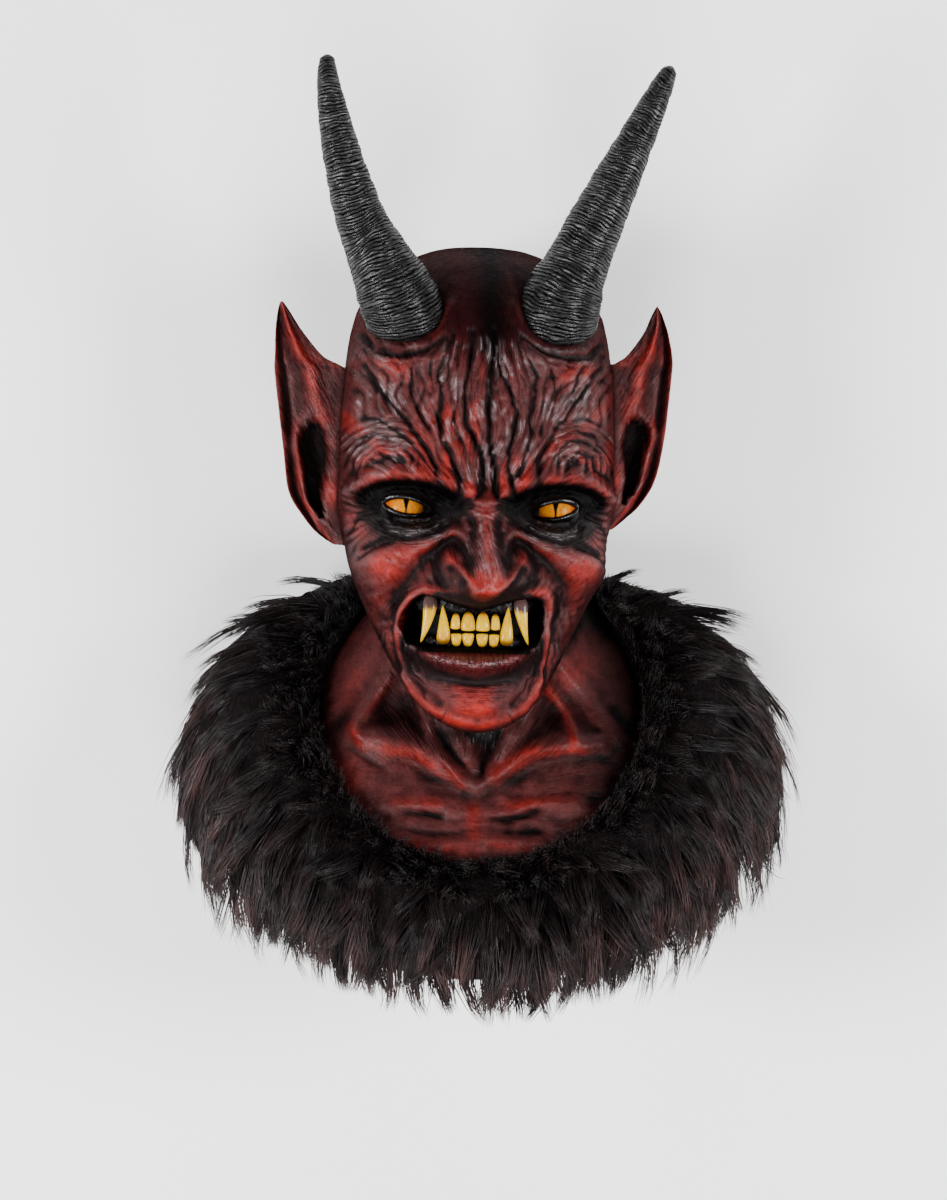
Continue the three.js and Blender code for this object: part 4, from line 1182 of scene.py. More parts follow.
class Shader:
    """A material's nodes, with short ways to add and join them. Sizes are in millimetres."""

    def __init__(self, name):
        self.material = bpy.data.materials.new(name)
        self.material.use_nodes = True
        self.tree = self.material.node_tree
        self.surface = self.tree.nodes["Principled BSDF"]
        self.place = self.node("ShaderNodeTexCoord").outputs["Object"]

    def put(self, value, socket):
        if isinstance(value, bpy.types.NodeSocket):
            self.tree.links.new(value, socket)
        elif socket.type == "RGBA":
            socket.default_value = (*value, 1.0)
        else:
            socket.default_value = value

    def node(self, kind, inputs=None, **settings):
        made = self.tree.nodes.new(kind)
        for key, value in settings.items():
            setattr(made, key, value)
        for key, value in (inputs or {}).items():
            self.put(value, made.inputs[key])
        return made

    def attribute(self, name, output="Fac"):
        return self.node("ShaderNodeAttribute", attribute_name=name).outputs[output]

    def stretched(self, vector, x, y, z):
        return self.node("ShaderNodeVectorMath", {0: vector, 1: (x, y, z)}, operation="MULTIPLY").outputs[0]

    def noise(self, size, detail=3.0, roughness=0.55, vector=None, unit=1000.0):
        inputs = {"Vector": vector or self.place, "Scale": unit / size, "Detail": detail}
        return self.node("ShaderNodeTexNoise", inputs | {"Roughness": roughness}).outputs[0]

    def ramp(self, value, low, high, start=0.0, end=1.0):
        inputs = {"Value": value, "From Min": low, "From Max": high, "To Min": start, "To Max": end}
        return self.node("ShaderNodeMapRange", inputs, interpolation_type="SMOOTHSTEP").outputs[0]

    def math(self, operation, a, b):
        return self.node("ShaderNodeMath", {0: a, 1: b}, operation=operation).outputs[0]

    def plus(self, a, b):
        return self.math("ADD", a, b)

    def times(self, a, b):
        return self.math("MULTIPLY", a, b)

    def mix(self, factor, a, b, how="MIX"):
        made = self.node("ShaderNodeMix", data_type="RGBA", blend_type=how)
        for value, socket in ((factor, made.inputs[0]), (a, made.inputs[6]), (b, made.inputs[7])):
            self.put(value, socket)
        return made.outputs[2]

    def tinted(self, colour, tint, share):
        """The colour, multiplied by the tint as far as the share says."""
        return self.mix(share, colour, self.mix(1.0, colour, tint, "MULTIPLY"))

    def uneven(self, size, low, high):
        """A roughness that wanders between two values."""
        return self.ramp(self.noise(size), 0.3, 0.7, low, high)

    def bump(self, height, depth, strength=1.0, under=None):
        inputs = {"Height": height, "Distance": depth / 1000.0, "Strength": strength}
        if under:
            inputs["Normal"] = under
        return self.node("ShaderNodeBump", inputs).outputs[0]

    def edge_on(self, value, least=0.02):
        """The value where the surface faces the viewer, and only a share of it where it is seen edge-on."""
        facing = self.node("ShaderNodeLayerWeight", {"Blend": 0.5}).outputs["Facing"]
        return self.times(value, self.ramp(facing, 0.3, 0.85, 1.0, least))

    def finish(self, **inputs):
        for name, value in inputs.items():
            self.put(value, self.surface.inputs[name.replace("_", " ")])
        return self.material


def skin_material():
    """Paint over combed wrinkles, with painted shade in their valleys and dust on their ridges, and wet
    spots.
    """
    s = Shader("painted_latex")
    paint, dry, gloss = s.attribute("paint", "Color"), s.attribute("dry"), s.attribute("gloss")
    combed = s.attribute("combed")
    wrinkles = s.noise(1.0, 4, 0.6, s.attribute("combed_way", "Vector"), 1.0)
    colour = s.tinted(paint, (0.45, 0.42, 0.42), s.times(s.ramp(s.noise(9), 0.35, 0.7), 0.6))
    colour = s.tinted(colour, (0.4, 0.36, 0.38), s.times(s.ramp(s.noise(2.4, 4, 0.65), 0.48, 0.66), 0.55))
    # Painted shade in the valleys of the fine wrinkles
    valley_shade = s.times(s.ramp(wrinkles, 0.5, 0.34), combed)
    colour = s.tinted(colour, (0.2, 0.19, 0.2), s.times(valley_shade, 0.8))
    colour = s.tinted(colour, (1.8, 1.7, 1.7), s.times(s.ramp(s.noise(1.2, 2), 0.5, 0.7), 0.45))
    ridge = s.times(s.ramp(wrinkles, 0.5, 0.7), combed)
    dust = s.plus(s.plus(s.noise(0.9, 4, 0.7), s.times(dry, 0.34)), s.times(ridge, 0.2))
    shown = s.plus(s.times(dry, 0.28), s.times(ridge, s.plus(dry, 0.3)))
    shown = s.times(s.ramp(dust, 0.62, 1.02), s.ramp(shown, 0.0, 0.9, 0.0, 0.75))
    colour = s.mix(shown, colour, (0.145, 0.112, 0.118))
    wet = s.ramp(gloss, 0.5, 0.9)
    normal = s.bump(s.noise(0.9, 2), 0.2, 0.9)
    normal = s.bump(s.noise(3.2, 4, 0.65), 0.6, 0.7, normal)
    normal = s.bump(wrinkles, 1.8, combed, normal)
    normal = s.bump(s.noise(1.5, 1), 1.0, wet, normal)
    return s.finish(
        Base_Color=colour, Roughness=s.plus(s.uneven(4, 0.40, 0.52), s.times(gloss, -0.2)), Normal=normal,
        Specular_IOR_Level=s.edge_on(s.plus(s.times(gloss, 0.28), s.ramp(dry, 0.0, 0.8, 0.02, 0.24))),
        Coat_Weight=s.edge_on(s.times(wet, s.ramp(s.noise(2.0, 2), 0.47, 0.6, 0.04, 0.7)), 0.0),
        Coat_Roughness=0.05, Coat_Normal=normal,
    )


def finish_skin():
    made = make_skin()
    surface = Surface(made)
    parts = surface.parts(4)
    wrinkle_skull(surface, normals_at(made), parts)
    ease_joins(surface, parts)
    surface.points[:, 2] = np.maximum(surface.points[:, 2], 0)
    set_vertices(made, surface.points)
    paint_skin(surface, parts)
    made.data.materials.clear()
    made.data.polygons.foreach_set("material_index", np.zeros(len(made.data.polygons), np.int32))
    set_vertices(made, to_row(surface.points))
    shade_smooth(made)
    return made


# Horns, each from the foot to the tip, as (x, height, depth, radius)

HORNS = {
    "left": np.array([
        [43.5, 159, 169, 25.6], [45.5, 176, 169.5, 25.3], [49.7, 193, 169, 23.8], [57.9, 213, 168, 19.8],
        [68.9, 239, 168, 17.6], [88, 281, 168, 12.3], [104, 316, 164, 8.6], [114, 338, 160, 4.2],
    ], float),
    "right": np.array([
        [-46, 159, 169, 25.3], [-50, 176, 169.5, 25.2], [-57.2, 193, 169, 23.8], [-67.5, 213, 168, 19.2],
        [-79.5, 238, 167, 15.6], [-92, 278, 168, 11.8], [-100.6, 318, 164, 7.6], [-102, 338, 160, 4.1],
    ], float),
}
HORN_COLUMNS, HORN_ROWS = 56, 310
# Shares of the length over which the tip is rounded off and the foot drawn in
HORN_TIP, HORN_FOOT = 0.035, 0.07


def horn_relief(around, aside, down, seed):
    """Rings that wander round the horn: their height, how far down each lies, and how much dust they hold."""
    wander = 1.7 * noise(around * 0.5 + 9, down / 18 + 0.5 * aside + 9, seed)
    down_ring = down + (wander + 0.6 * noise(aside * 1.2 + 5, down / 6, seed + 1))
    ring = creases(down_ring / 2.3 + 0.5 * noise(down / 5 + 0 * aside, aside * 0.5 + 9, seed + 2), 0.5)
    broad = noise(around * 0.6, down_ring / 7, seed + 3)
    deep = smooth(0.45, 0.8, noise(around * 0.8 + 3, down_ring / 3.2, seed + 4))
    swell = 0.42 * ring + 0.5 * broad - 0.5 * deep + 0.16 * noise(around * 9, down / 1.7, seed + 5)
    return swell, down_ring, clamp(0.45 + 0.7 * ring + 0.25 * broad - 0.8 * deep)


def make_horn(name, line, seed):
    """A horn round its middle line, from the tip down to a foot that follows the skull."""
    share = np.linspace(0, 1, HORN_ROWS)
    rows = along(line, (1 - share) * (len(line) - 1))
    middle, radius = rows[:, :3], rows[:, 3]
    up = unit(np.gradient(-middle, axis=0))
    sideways = unit(np.array([1.0, 0, 0]) - up * up[:, :1])
    ahead = np.cross(sideways, up)
    length = np.concatenate([[0], np.cumsum(np.linalg.norm(np.diff(middle, axis=0), axis=1))])
    turn, down = circle(HORN_COLUMNS)[None, :], length[:, None] + np.zeros((1, HORN_COLUMNS))
    swell, down_ring, dry = horn_relief(np.cos(turn) * 2 + 0 * down, np.sin(turn) * 2 + 0 * down, down, seed)
    girth = clamp(radius / 14, 0.35, 1)[:, None]
    foot = clamp((share - 1 + HORN_FOOT) / HORN_FOOT)
    closing = np.sqrt(np.minimum(share / HORN_TIP, 1)) * np.sqrt(1 - 0.6 * foot ** 2.5)
    r = (radius[:, None] + swell * girth) * closing[:, None]
    spoke = np.sin(turn)[..., None] * sideways[:, None] + np.cos(turn)[..., None] * ahead[:, None]
    above_foot = length[-1] - down
    sits = (1 - np.cos(turn)) * smooth(50, 0, above_foot)
    points = placed(middle[:, None] + r[..., None] * spoke + 10 * sits[..., None] * up[:, None])
    made = new_object(f"horn_{name}_ringed", *grid_mesh(to_row(points)))
    ruled = [grid_values(values) for values in (r * np.cos(turn), r * np.sin(turn), down_ring)]
    set_values(made, "dry", grid_values(dry))
    set_values(made, "ruled", np.stack(ruled, -1), "FLOAT_VECTOR")
    set_values(made, "foot", grid_values(smooth(16, 3, above_foot)))
    return made


def horn_material():
    """Satin black with fine wandering rings, painted darker in their creases as shade, and grey dust on the
    highest of them.
    """
    s = Shader("ringed_horn")
    ruled = s.attribute("ruled", "Vector")
    along_horn = s.node("ShaderNodeSeparateXYZ", {0: ruled}).outputs[2]
    wander = s.noise(1.0, 2, 0.6, s.stretched(ruled, 0.06, 0.06, 0.13), 1.0)
    rings = s.plus(s.times(along_horn, 0.46), s.times(wander, 2.6))
    ring = s.ramp(s.math("PINGPONG", rings, 0.5), 0.0, 0.3)
    fine = s.noise(1.0, 3, 0.6, s.stretched(ruled, 0.09, 0.09, 1.1), 1.0)
    raised = s.plus(s.plus(s.times(ring, 0.30), s.times(fine, 0.6)), s.times(s.attribute("dry"), 0.06))
    # Darker in the ring creases, as painted shade, over the satin black
    satin_and_crease_shade = s.mix(s.ramp(raised, 0.36, 0.68), (0.0006, 0.0006, 0.0007), (0.0085, 0.0085, 0.0091))
    dust = s.plus(raised, s.times(s.noise(5), 0.16))
    dust = s.math("SUBTRACT", dust, s.times(s.attribute("foot"), 0.1))
    normal = s.bump(fine, 0.8, 1.0, s.bump(ring, 0.4, 1.0))
    return s.finish(
        Base_Color=s.mix(s.ramp(dust, 0.73, 0.88), satin_and_crease_shade, (0.12, 0.12, 0.125)),
        Roughness=s.uneven(3, 0.22, 0.34), Normal=normal,
        Specular_IOR_Level=s.edge_on(s.ramp(raised, 0.36, 0.68, 0.02, 0.30), 0.1),
    )


# Eyes and lids

LID = dict(half_width=13.8, half_height=5.2, columns=96, sides=16)
AMBER, ORANGE, RED_RIM = np.array([[0.37, 0.14, 0.0001], [0.25, 0.046, 0.0001], [0.20, 0.008, 0.004]])


def eye_depth(u, v):
    return EYE["depth"] + np.sqrt(np.maximum(EYE["radius"] ** 2 - u * u - v * v, 0))


def make_eye(name, side):
    """A ball, cut off behind, with an amber iris that fills the lids and a slit pupil that widens upwards."""
    rings, columns, open_to = 60, 76, 0.62 * np.pi
    fall, turn = np.linspace(0, open_to, rings)[:, None], -circle(columns, 0)[None, :]
    u = EYE["radius"] * np.sin(fall) * np.cos(turn)
    v = EYE["radius"] * np.sin(fall) * np.sin(turn)
    z = EYE["depth"] + EYE["radius"] * np.cos(fall) + 0 * turn
    points = placed(np.stack([side * EYE["side"] + u, EYE["height"] + v, z], -1))
    made = new_object(f"eye_{name}_glossy", *grid_mesh(to_row(points)))
    local = unplaced(grid_mesh(points)[0])
    u = local[:, 0] - side * EYE["side"]
    v = local[:, 1] - EYE["height"] - EYE["slant"] * u * side
    lid = (u / LID["half_width"]) ** 2 + (v / LID["half_height"]) ** 2
    flecks = noise(u / 1.1 + 20, v / 2.2 + 20, 61) + 0.7 * noise(u / 0.5 + 20, v / 0.8 + 20, 62)
    colour = blend(AMBER, ORANGE, 0.35 + 0.32 * flecks + 0.5 * smooth(0.25, 0.8, lid))
    colour = blend(colour, RED_RIM, smooth(0.62, 0.95, lid + 0.08 * flecks))
    slit = 0.55 + 1.5 * smooth(-3.5, 6.0, v) + 0.1 * flecks
    colour = blend(colour, BLACK, 1 - smooth(slit - 0.2, slit + 0.25, np.abs(u - 0.3 * side)))
    # Black beyond the lids, painted shade where the ball lies under them
    set_colour(made, blend(colour, BLACK, smooth(1.0, 1.2, lid)))
    return made


def lid_points(side):
    """The rolled edge of the lids, one loop round the eye that rests on the ball."""
    turn, section = circle(LID["columns"], 0), circle(LID["sides"], 0)
    u, v = np.cos(turn), np.sin(turn)
    upper, corner = smooth(-0.2, 0.6, v), bell(v / 0.35)
    thick = 1.1 + 0.6 * upper - 0.3 * corner
    line_u = (LID["half_width"] + 0.3 * thick) * u
    line_v = (LID["half_height"] + 0.45 * thick) * np.sign(v) * np.abs(v) ** 1.15 + EYE["slant"] * line_u
    depth = eye_depth(0.92 * line_u, 0.92 * line_v) + 0.3 + 0.9 * upper - 1.0 * corner
    centre = np.stack([line_u, line_v, depth], -1)
    ahead = unit(np.roll(centre, -1, 0) - np.roll(centre, 1, 0))
    out = unit(np.cross(ahead, [0, 0, 1.0]))
    rise = np.cross(out, ahead)
    wave = 1 + 0.06 * noise(turn[:, None] * 9, section[None, :] * 2, 65)
    spoke = 1.25 * np.cos(section)[:, None] * out[:, None] + np.sin(section)[:, None] * rise[:, None]
    ring = centre[:, None] + thick[:, None, None] * wave[..., None] * spoke
    ring[..., 0] = side * (ring[..., 0] + EYE["side"])
    ring[..., 1] += EYE["height"]
    return placed(ring if side > 0 else ring[:, ::-1])


def eye_material():
    s = Shader("amber_eye")
    veins = s.ramp(s.noise(0.8, 4, 0.7), 0.5, 0.75)
    colour = s.tinted(s.attribute("paint", "Color"), (0.75, 0.45, 0.3), s.times(veins, 0.35))
    return s.finish(
        Base_Color=colour, Roughness=s.uneven(2, 0.3, 0.42), Normal=s.bump(s.noise(3.5, 2), 0.1, 0.5),
        Specular_IOR_Level=0.01, Coat_Weight=0.06, Coat_Roughness=0.02,
    )


def wet_black_material():
    s = Shader("wet_black_latex")
    return s.finish(
        Base_Color=s.mix(s.ramp(s.noise(2.0, 4), 0.4, 0.75), (0.0014, 0.001, 0.0011), (0.005, 0.003, 0.0034)),
        Roughness=s.ramp(s.noise(1.6), 0.35, 0.7, 0.2, 0.32), Normal=s.bump(s.noise(1.1, 3), 0.22, 0.8),
        Specular_IOR_Level=0.2,
    )


# Teeth: distance from the middle, height of the root and of the tip, half width, outward lean of the tip

UPPER_TEETH = [(4.5, -7, -19.2, 4.1, 0), (12.1, -8, -18.3, 2.9, 0), (27.5, 3, -27, 4.9, 5.5)]
LOWER_TEETH = [(4.3, -29, -20.2, 3.4, 0), (11.4, -29, -20.5, 3.2, 0), (19.2, -28, -3.5, 4.7, 1)]
# Gums: height of the lower and upper edge, half length, and the seed of their lumps
UPPER_GUM, LOWER_GUM = (-10, 4, 36, 73), (-31, -21, 30, 77)
GUM, TOOTH, FANG = range(3)
FANG_LENGTH = 15
TOOTH_SHIFT = -2.9
TOOTH_SQUARENESS = 0.86
YELLOW, DEEP_AMBER, BROWN = np.array([[0.45, 0.272, 0.0001], [0.34, 0.150, 0.0001], [0.05, 0.015, 0.002]])
FANG_ROOT, GUM_SPECKS = np.array([[0.045, 0.024, 0.022], [0.014, 0.008, 0.010]])


def arch_depth(x):
    return 213 - 0.0075 * x * x


def squared(wave):
    """A sine or cosine with blunter corners."""
    return np.sign(wave) * np.abs(wave) ** TOOTH_SQUARENESS


def tooth_points(number, x, root, tip, half_width, lean, side):
    """A tooth from its upper end to its lower end, and how far from its root each place is."""
    share = np.linspace(0, 1, 30)[:, None]
    turn = circle(26)[None, :]
    from_root = share if root > tip else 1 - share
    ends = np.abs(2 * from_root - 1)
    rounded = np.sqrt(np.maximum(0, 1 - ends ** 6))
    if abs(tip - root) > FANG_LENGTH:
        taper, bow = 1 - 0.93 * from_root ** 1.5, 1.4
        closing = np.where(from_root > 0.5, 1 - smooth(0.93, 1.0, from_root) ** 2, rounded)
    else:
        taper, bow = 0.5 + 0.54 * np.sin(from_root * 1.9), 0.5
        closing = np.where(from_root > 0.5, np.sqrt(np.maximum(0, 1 - ends ** 14)), rounded ** 1.2)
    flutes = 0.035 * noise(turn * 3 + 9 + number, from_root * 1.4, 71)
    flutes = flutes + 0.02 * noise(turn * 7 + 30, from_root * 3, 72 + number)
    width = half_width * taper * closing * (1 + flutes)
    points = np.stack([
        x + side * lean * from_root ** 2 + width * squared(np.sin(turn)),
        root + (tip - root) * from_root + 0 * turn,
        arch_depth(x) + bow * np.sin(np.pi * from_root) + 0.78 * width * squared(np.cos(turn)),
    ], -1)
    return points, from_root + 0 * turn


def gum_points(start, end, half_length, seed):
    share = np.linspace(0, 1, 90)[:, None]
    turn = circle(22)[None, :]
    x = -half_length + 2 * half_length * share
    closing = np.sqrt(np.maximum(0, 1 - (2 * share - 1) ** 6))
    lumps = 0.5 * noise(x / 2.2 + 40, turn * 2 + 20, seed) + 0.35 * noise(x + 80, turn * 4 + 20, seed + 1)
    y = (start + end) / 2 + ((end - start) / 2 + lumps) * closing * np.sin(turn)
    z = arch_depth(x) - 5 + (4.2 + lumps) * closing * np.cos(turn)
    return np.stack([x + 0 * turn, y, z], -1)


def tooth_paint(points, root, kind):
    """Stained yellow, browner at the root, where the brown is partly stain and partly painted shade by the
    gum, with dull roots on the upper fangs and specks on the gum.
    """
    x, y = points[:, 0], points[:, 1]
    stain = noise(x / 1.7 + 70, y / 3.5 + 70, 75) + 0.6 * noise(x / 0.7 + 70, y / 1.2 + 70, 77)
    colour = blend(YELLOW, DEEP_AMBER, 0.25 + 0.5 * stain + 0.5 * smooth(0.4, 0.05, root))
    colour = blend(colour, BROWN, 0.85 * smooth(0.22, 0.06, root))
    colour = blend(colour, FANG_ROOT, (kind == FANG) * smooth(0.36, 0.26, root + 0.04 * stain))
    gum = blend(BLACK, GUM_SPECKS, smooth(0.35, 0.8, noise(x * 0.9 + 80, y * 0.9 + 80, 76)))
    return np.where((kind == GUM)[:, None], gum, colour)


def make_teeth(name, rows, gum):
    """A gum and its teeth, left and right, as one mesh."""
    forms = [(gum_points(*gum), None, GUM)]
    for number, (x, *row) in enumerate(rows):
        kind = FANG if rows is UPPER_TEETH and abs(row[1] - row[0]) > FANG_LENGTH else TOOTH
        for side in (-1, 1):
            forms.append((*tooth_points(2 * number + (side > 0), side * x, *row, side), kind))
    gathered, start = [], 0
    for points, from_root, kind in forms:
        vertices, quads, triangles = grid_mesh(placed(points + [TOOTH_SHIFT, 0, 0]))
        root = np.zeros(len(vertices)) if from_root is None else grid_values(from_root)
        gathered.append((vertices, quads + start, triangles + start, root, np.full(len(vertices), kind)))
        start += len(vertices)
    points, quads, triangles, root, kind = (np.concatenate(rows) for rows in zip(*gathered))
    made = new_object(name, to_row(points), quads, triangles)
    set_colour(made, tooth_paint(points, root, kind))
    set_values(made, "gum", (kind == GUM).astype(float))
    return made


def teeth_material():
    s = Shader("stained_teeth")
    paint, gum = s.attribute("paint", "Color"), s.attribute("gum")
    stain = s.ramp(s.noise(1.6, 4, 0.65, s.stretched(s.place, 1.6, 0.6, 1)), 0.45, 0.75)
    normal = s.bump(s.noise(0.9, 2, 0.5, s.stretched(s.place, 1.6, 0.35, 1)), 0.1, 0.5)
    normal = s.bump(s.noise(1.2, 3), 0.35, s.times(gum, 0.9), normal)
    enamel = s.math("SUBTRACT", 1.0, gum)
    return s.finish(
        Base_Color=s.tinted(paint, (0.6, 0.45, 0.35), s.times(stain, 0.45)),
        Roughness=s.uneven(2, 0.22, 0.34), Normal=normal,
        Specular_IOR_Level=s.plus(s.times(enamel, 0.04), 0.06),
        Coat_Weight=s.times(enamel, 0.15), Coat_Roughness=0.04,
    )


# The collar of fur

# It starts and ends at these rings of the chest, in front, at the side and behind, and stands this far out
COLLAR = dict(start=(4.45, 2.5, 1.2), end=(6.62, 6.5, 5.9), pile=(32, 45, 38), tip=7)
# The undercoat's share of the pile, and the least height of the undercoat and of the hairs
BED, UNDERCOAT_FLOOR, FUR_FLOOR = 0.80, 0.4, 0.5
# Each hair bends over a control point. These are the shares of its length at which it has its rings, the
# girths of the rings, and how many sides it has
HAIR_SHARES, HAIR_GIRTHS, HAIR_SIDES = (0, 0.36, 0.72, 1.0), (1.0, 0.95, 0.6), 3
LOCK_WIDTH = 3.6
# Name, locks, hairs in each, where across the collar, shortest and longest hair, seed, and where round it
FUR = [
    ("fur_fringe", 420, 12, (0.0, 0.05), (7, 13), 100),
    ("fur_neck", 420, 22, (0.02, 0.2), (13, 22), 101),
    ("fur_middle_a", 270, 38, (0.14, 0.45), (34, 58), 102),
    ("fur_middle_b", 250, 38, (0.38, 0.68), (34, 54), 103),
    ("fur_edge", 230, 38, (0.6, 0.84), (28, 48), 104),
    ("fur_wisps", 74, 14, (0.45, 0.8), (54, 74), 105, (0.5, 2.1)),
]


def fur_bed(turn, across, depth=1.0):
    """A point in the pile of the collar, where across runs from its inner to its outer edge."""
    start, end = round_ring(*COLLAR["start"], turn), round_ring(*COLLAR["end"], turn)
    s = start + (end - start) * across
    full = band(0, 0.3, 0.45, 1, across)
    pile = COLLAR["tip"] + (round_ring(*COLLAR["pile"], turn) - COLLAR["tip"]) * full
    return drape_surface(turn, s, flat) + (pile * depth)[..., None] * normals_of(drape_surface, turn, s, flat)


def fur_frame(turn, across, step=0.01):
    """A point of the undercoat, the ways outwards along the collar and round it, and the way up."""
    flow = unit(fur_bed(turn, across + step, BED) - fur_bed(turn, across - step, BED))
    over = unit(fur_bed(turn + step, across, BED) - fur_bed(turn - step, across, BED))
    return fur_bed(turn, across, BED), flow, over, unit(np.cross(flow, over))


def undercoat_points():
    """A lumpy ring under the hair, with its flat side on the latex."""
    columns, sides = 240, 44
    turn = circle(columns)[:, None] + np.zeros((1, sides))
    section = circle(sides, 0)[None, :] + np.zeros((columns, 1))
    across = (0.5 - 0.5 * np.cos(section)) * 0.86
    lumps = 1 + 0.10 * noise(turn * 14, across * 5, 81) + 0.07 * noise(turn * 40, across * 14, 82)
    points = fur_bed(turn, across, np.where(section > np.pi, BED * lumps, -0.05))
    points[..., 2] = np.maximum(points[..., 2], UNDERCOAT_FLOOR)
    return to_row(points)


def hair_mesh(name, root, control, tip, thick, aside):
    """Tapered hairs, each bent from its root over its control point to its tip."""
    count, last = len(root), HAIR_SIDES * len(HAIR_GIRTHS)
    path = [root * (1 - t) ** 2 + control * 2 * t * (1 - t) + tip * t * t for t in HAIR_SHARES]
    spoke_a = unit(np.cross(tip - root, aside))
    spoke_b = unit(np.cross(tip - root, spoke_a))
    vertices = np.empty((count, last + 1, 3))
    for ring, girth in enumerate(HAIR_GIRTHS):
        for m in range(HAIR_SIDES):
            angle = 2 * np.pi * m / HAIR_SIDES
            spoke = spoke_a * math.cos(angle) + spoke_b * math.sin(angle)
            vertices[:, HAIR_SIDES * ring + m] = path[ring] + spoke * (thick * girth)[:, None]
    vertices[:, last] = path[-1]
    vertices[..., 2] = np.maximum(vertices[..., 2], FUR_FLOOR)
    quads, triangles = [], []
    for m in range(HAIR_SIDES):
        n = (m + 1) % HAIR_SIDES
        quads += [[m, n, n + 3, m + 3], [m + 3, n + 3, n + 6, m + 6]]
        triangles.append([m + 6, n + 6, last])
    first = (last + 1) * np.arange(count)[:, None, None]
    quads, triangles = (first + np.array(quads)).reshape(-1, 4), (first + np.array(triangles)).reshape(-1, 3)
    return new_object(name, to_row(vertices).reshape(-1, 3), quads, triangles)


def make_fur(name, locks, each, region, lengths, seed, sides=(0.0, np.pi)):
    """Hairs gathered in pointed locks that lie away from the neck and hang a little."""
    random = np.random.default_rng(seed)
    low, high = region
    turn = random.uniform(*sides, locks) * random.choice([-1, 1], locks)
    across = low + (high - low) * random.uniform(0, 1, locks)
    count, lock = locks * each, np.repeat(np.arange(locks), each)
    fringe = high < 0.1

    at, flow, over, out = fur_frame(turn, across)
    inner = smooth(0.22, 0.02, across)
    lift = random.uniform(0.1, 0.45, locks) + 0.8 * inner
    sway = random.normal(0, 0.24, locks)
    onward = -0.55 * random.uniform(0.2, 1.4, locks) if fringe else 1 - 0.7 * inner
    hang = 0.55 * np.abs(np.sin(turn)) * (at[:, 1] > -190) * (1 - inner)
    heading = flow * onward[:, None] + out * lift[:, None] + over * sway[:, None]
    heading = unit(heading + np.array([0, -1, 0]) * hang[:, None])
    front = smooth(0.2, 1.0, np.cos(turn))
    length = random.uniform(*lengths, locks) * (1 - 0.12 * front * smooth(0.5, 0.9, across))
    length = length * (1 - 0.4 * smooth(2.1, 2.6, np.abs(turn)))
    curve = random.normal(0, 0.16, locks)[lock, None] * over[lock]
    lock_tip = (at + heading * length[:, None])[lock]

    hair_turn = turn[lock] + random.normal(0, LOCK_WIDTH / 170, count)
    hair_across = np.clip(across[lock] + random.normal(0, LOCK_WIDTH / 120, count), 0.004, high)
    root, _, _, out = fur_frame(hair_turn, hair_across)
    root = root - out * 2.0
    own = unit(heading[lock] + random.normal(0, 0.09, (count, 3)))
    reach = (length[lock] * random.uniform(0.7, 1.1, count))[:, None]
    tip = root + own * reach
    gather = random.uniform(0.3, 0.85, count)[:, None]
    tip = tip + (lock_tip - tip) * gather + random.normal(0, 0.8, (count, 3))
    tip = tip - out * 0.16 * reach + curve * reach
    control = root + (tip - root) * 0.5 + out * 0.17 * reach + random.normal(0, 0.7, (count, 3))
    control = control - 0.8 * curve * reach
    thick = random.uniform(0.22, 0.46, count)
    made = hair_mesh(name, root, control, tip, thick, random.normal(0, 1, (count, 3)))

    tone = np.clip(random.normal(0.4, 0.25, locks)[lock] + random.normal(0, 0.2, count), 0, 1)
    tone = tone * (0.04 + 0.96 * smooth(0.15, 0.55, across)[lock])
    ring_shares = np.repeat(HAIR_SHARES, [HAIR_SIDES] * len(HAIR_GIRTHS) + [1])
    set_values(made, "tone", np.repeat(tone, len(ring_shares)))
    set_values(made, "along", np.tile(ring_shares, count))
    return made


def fur_material():
    """Near black at the root and on the inner pile, dark brown at the tips of the outer pile."""
    s = Shader("faux_fur")
    tone, way = s.attribute("tone"), s.attribute("along")
    warm = s.ramp(s.noise(28, 2), 0.35, 0.65)
    deep = s.mix(warm, (0.0022, 0.0015, 0.0017), (0.0060, 0.0028, 0.0030))
    light = s.mix(warm, (0.050, 0.029, 0.030), (0.095, 0.044, 0.041))
    shade = s.times(s.ramp(way, 0.05, 0.95, 0.1, 1.0), tone)
    return s.finish(
        Base_Color=s.mix(shade, deep, light), Roughness=s.uneven(5, 0.34, 0.5),
        Normal=s.bump(s.noise(0.8, 2), 0.1, 0.4), Specular_IOR_Level=0.22,
    )


def undercoat_material():
    s = Shader("fur_undercoat_pile")
    strands = s.noise(2.2, 4, 0.7, s.stretched(s.place, 1.5, 0.5, 1))
    return s.finish(
        Base_Color=s.mix(s.ramp(strands, 0.4, 0.75), (0.003, 0.0026, 0.0028), (0.014, 0.0085, 0.0085)),
        Roughness=s.ramp(strands, 0.3, 0.7, 0.85, 0.98), Normal=s.bump(strands, 1.6), Specular_IOR_Level=0.03,
    )


# Putting it together

def dress(made, material, slot, *nodes):
    made.data.materials.append(material)
    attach(made, "root")
    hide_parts(*nodes)


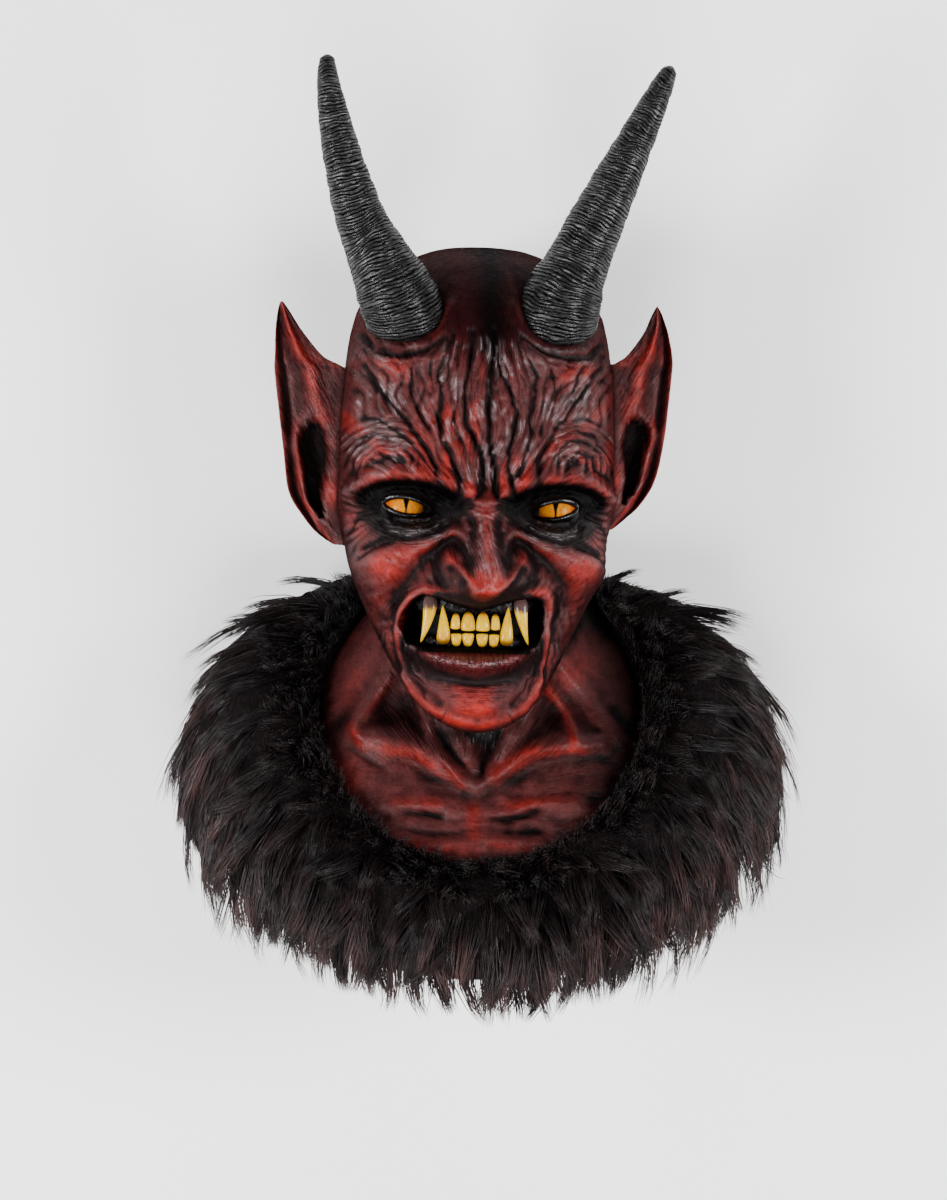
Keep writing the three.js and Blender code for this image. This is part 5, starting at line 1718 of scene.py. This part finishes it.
dress(finish_skin(), skin_material(), "latex_skin", "mask_skin")
horn_look = horn_material()
for number, (name, line) in enumerate(HORNS.items()):
    dress(make_horn(name, line, 91 + 10 * number), horn_look, "horn", f"horn_{name}")
eye_look, wet_look = eye_material(), wet_black_material()
for name, side in (("left", 1), ("right", -1)):
    dress(make_eye(name, side), eye_look, "eye", f"eye_{name}")
    lids = new_object(f"eyelids_{name}", *loop_mesh(to_row(lid_points(side))))
    dress(lids, wet_look, "latex_skin", "mask_skin")
teeth_look = teeth_material()
for name, rows, gum in (("upper_teeth", UPPER_TEETH, UPPER_GUM), ("lower_teeth", LOWER_TEETH, LOWER_GUM)):
    dress(make_teeth(f"{name}_stained", rows, gum), teeth_look, "teeth", name)
undercoat = new_object("fur_undercoat", *loop_mesh(undercoat_points()))
dress(undercoat, undercoat_material(), "fur", "fur_collar")
fur_look = fur_material()
for row in FUR:
    dress(make_fur(*row), fur_look, "fur", "fur_collar")


# Floor, light and camera, in metres

FLOOR_SIZE = 8
LIGHT_TARGET = (0, 0, 0.1)
# Name, place, width and power
LIGHTS = [
    ("left", (-1.5, -0.25, 1.5), 0.7, 90),
    ("right", (1.5, -0.05, 1.5), 0.8, 78),
    ("front", (0.0, -1.3, 1.9), 1.0, 44),
    ("top", (-0.5, 1.5, 1.6), 1.0, 5),
]
WORLD_STRENGTH = 0.2
CAMERA_PLACE, CAMERA_LENS, CAMERA_SENSOR = (-0.00465, -0.0457, 2.38), 106.45, 36.0


def placed_object(name, data, place):
    made = bpy.data.objects.new(name, data)
    made.location = place
    bpy.context.scene.collection.objects.link(made)
    return made


def make_floor():
    bpy.ops.mesh.primitive_plane_add(size=FLOOR_SIZE)
    floor = bpy.context.object
    floor.name = "floor"
    s = Shader("pale_floor")
    tint = s.mix(s.ramp(s.noise(400), 0.3, 0.7), (0.86, 0.86, 0.86), (0.9, 0.9, 0.9))
    floor.data.materials.append(s.finish(Base_Color=tint, Roughness=0.9))


def add_light(name, place, size, power):
    data = bpy.data.lights.new(name, "AREA")
    data.shape, data.size, data.energy = "DISK", size, power
    way = Vector(LIGHT_TARGET) - Vector(place)
    placed_object(name, data, place).rotation_euler = way.to_track_quat("-Z", "Y").to_euler()


def light_world():
    world = bpy.data.worlds.new("studio")
    world.use_nodes = True
    background = world.node_tree.nodes["Background"]
    background.inputs["Color"].default_value = (1, 1, 1, 1)
    background.inputs["Strength"].default_value = WORLD_STRENGTH
    bpy.context.scene.world = world


def add_camera():
    """The camera looks straight down, as the photograph looks at the face."""
    data = bpy.data.cameras.new("camera")
    data.lens, data.sensor_width = CAMERA_LENS, CAMERA_SENSOR
    bpy.context.scene.camera = placed_object("camera", data, CAMERA_PLACE)


make_floor()
for row in LIGHTS:
    add_light(*row)
light_world()
add_camera()
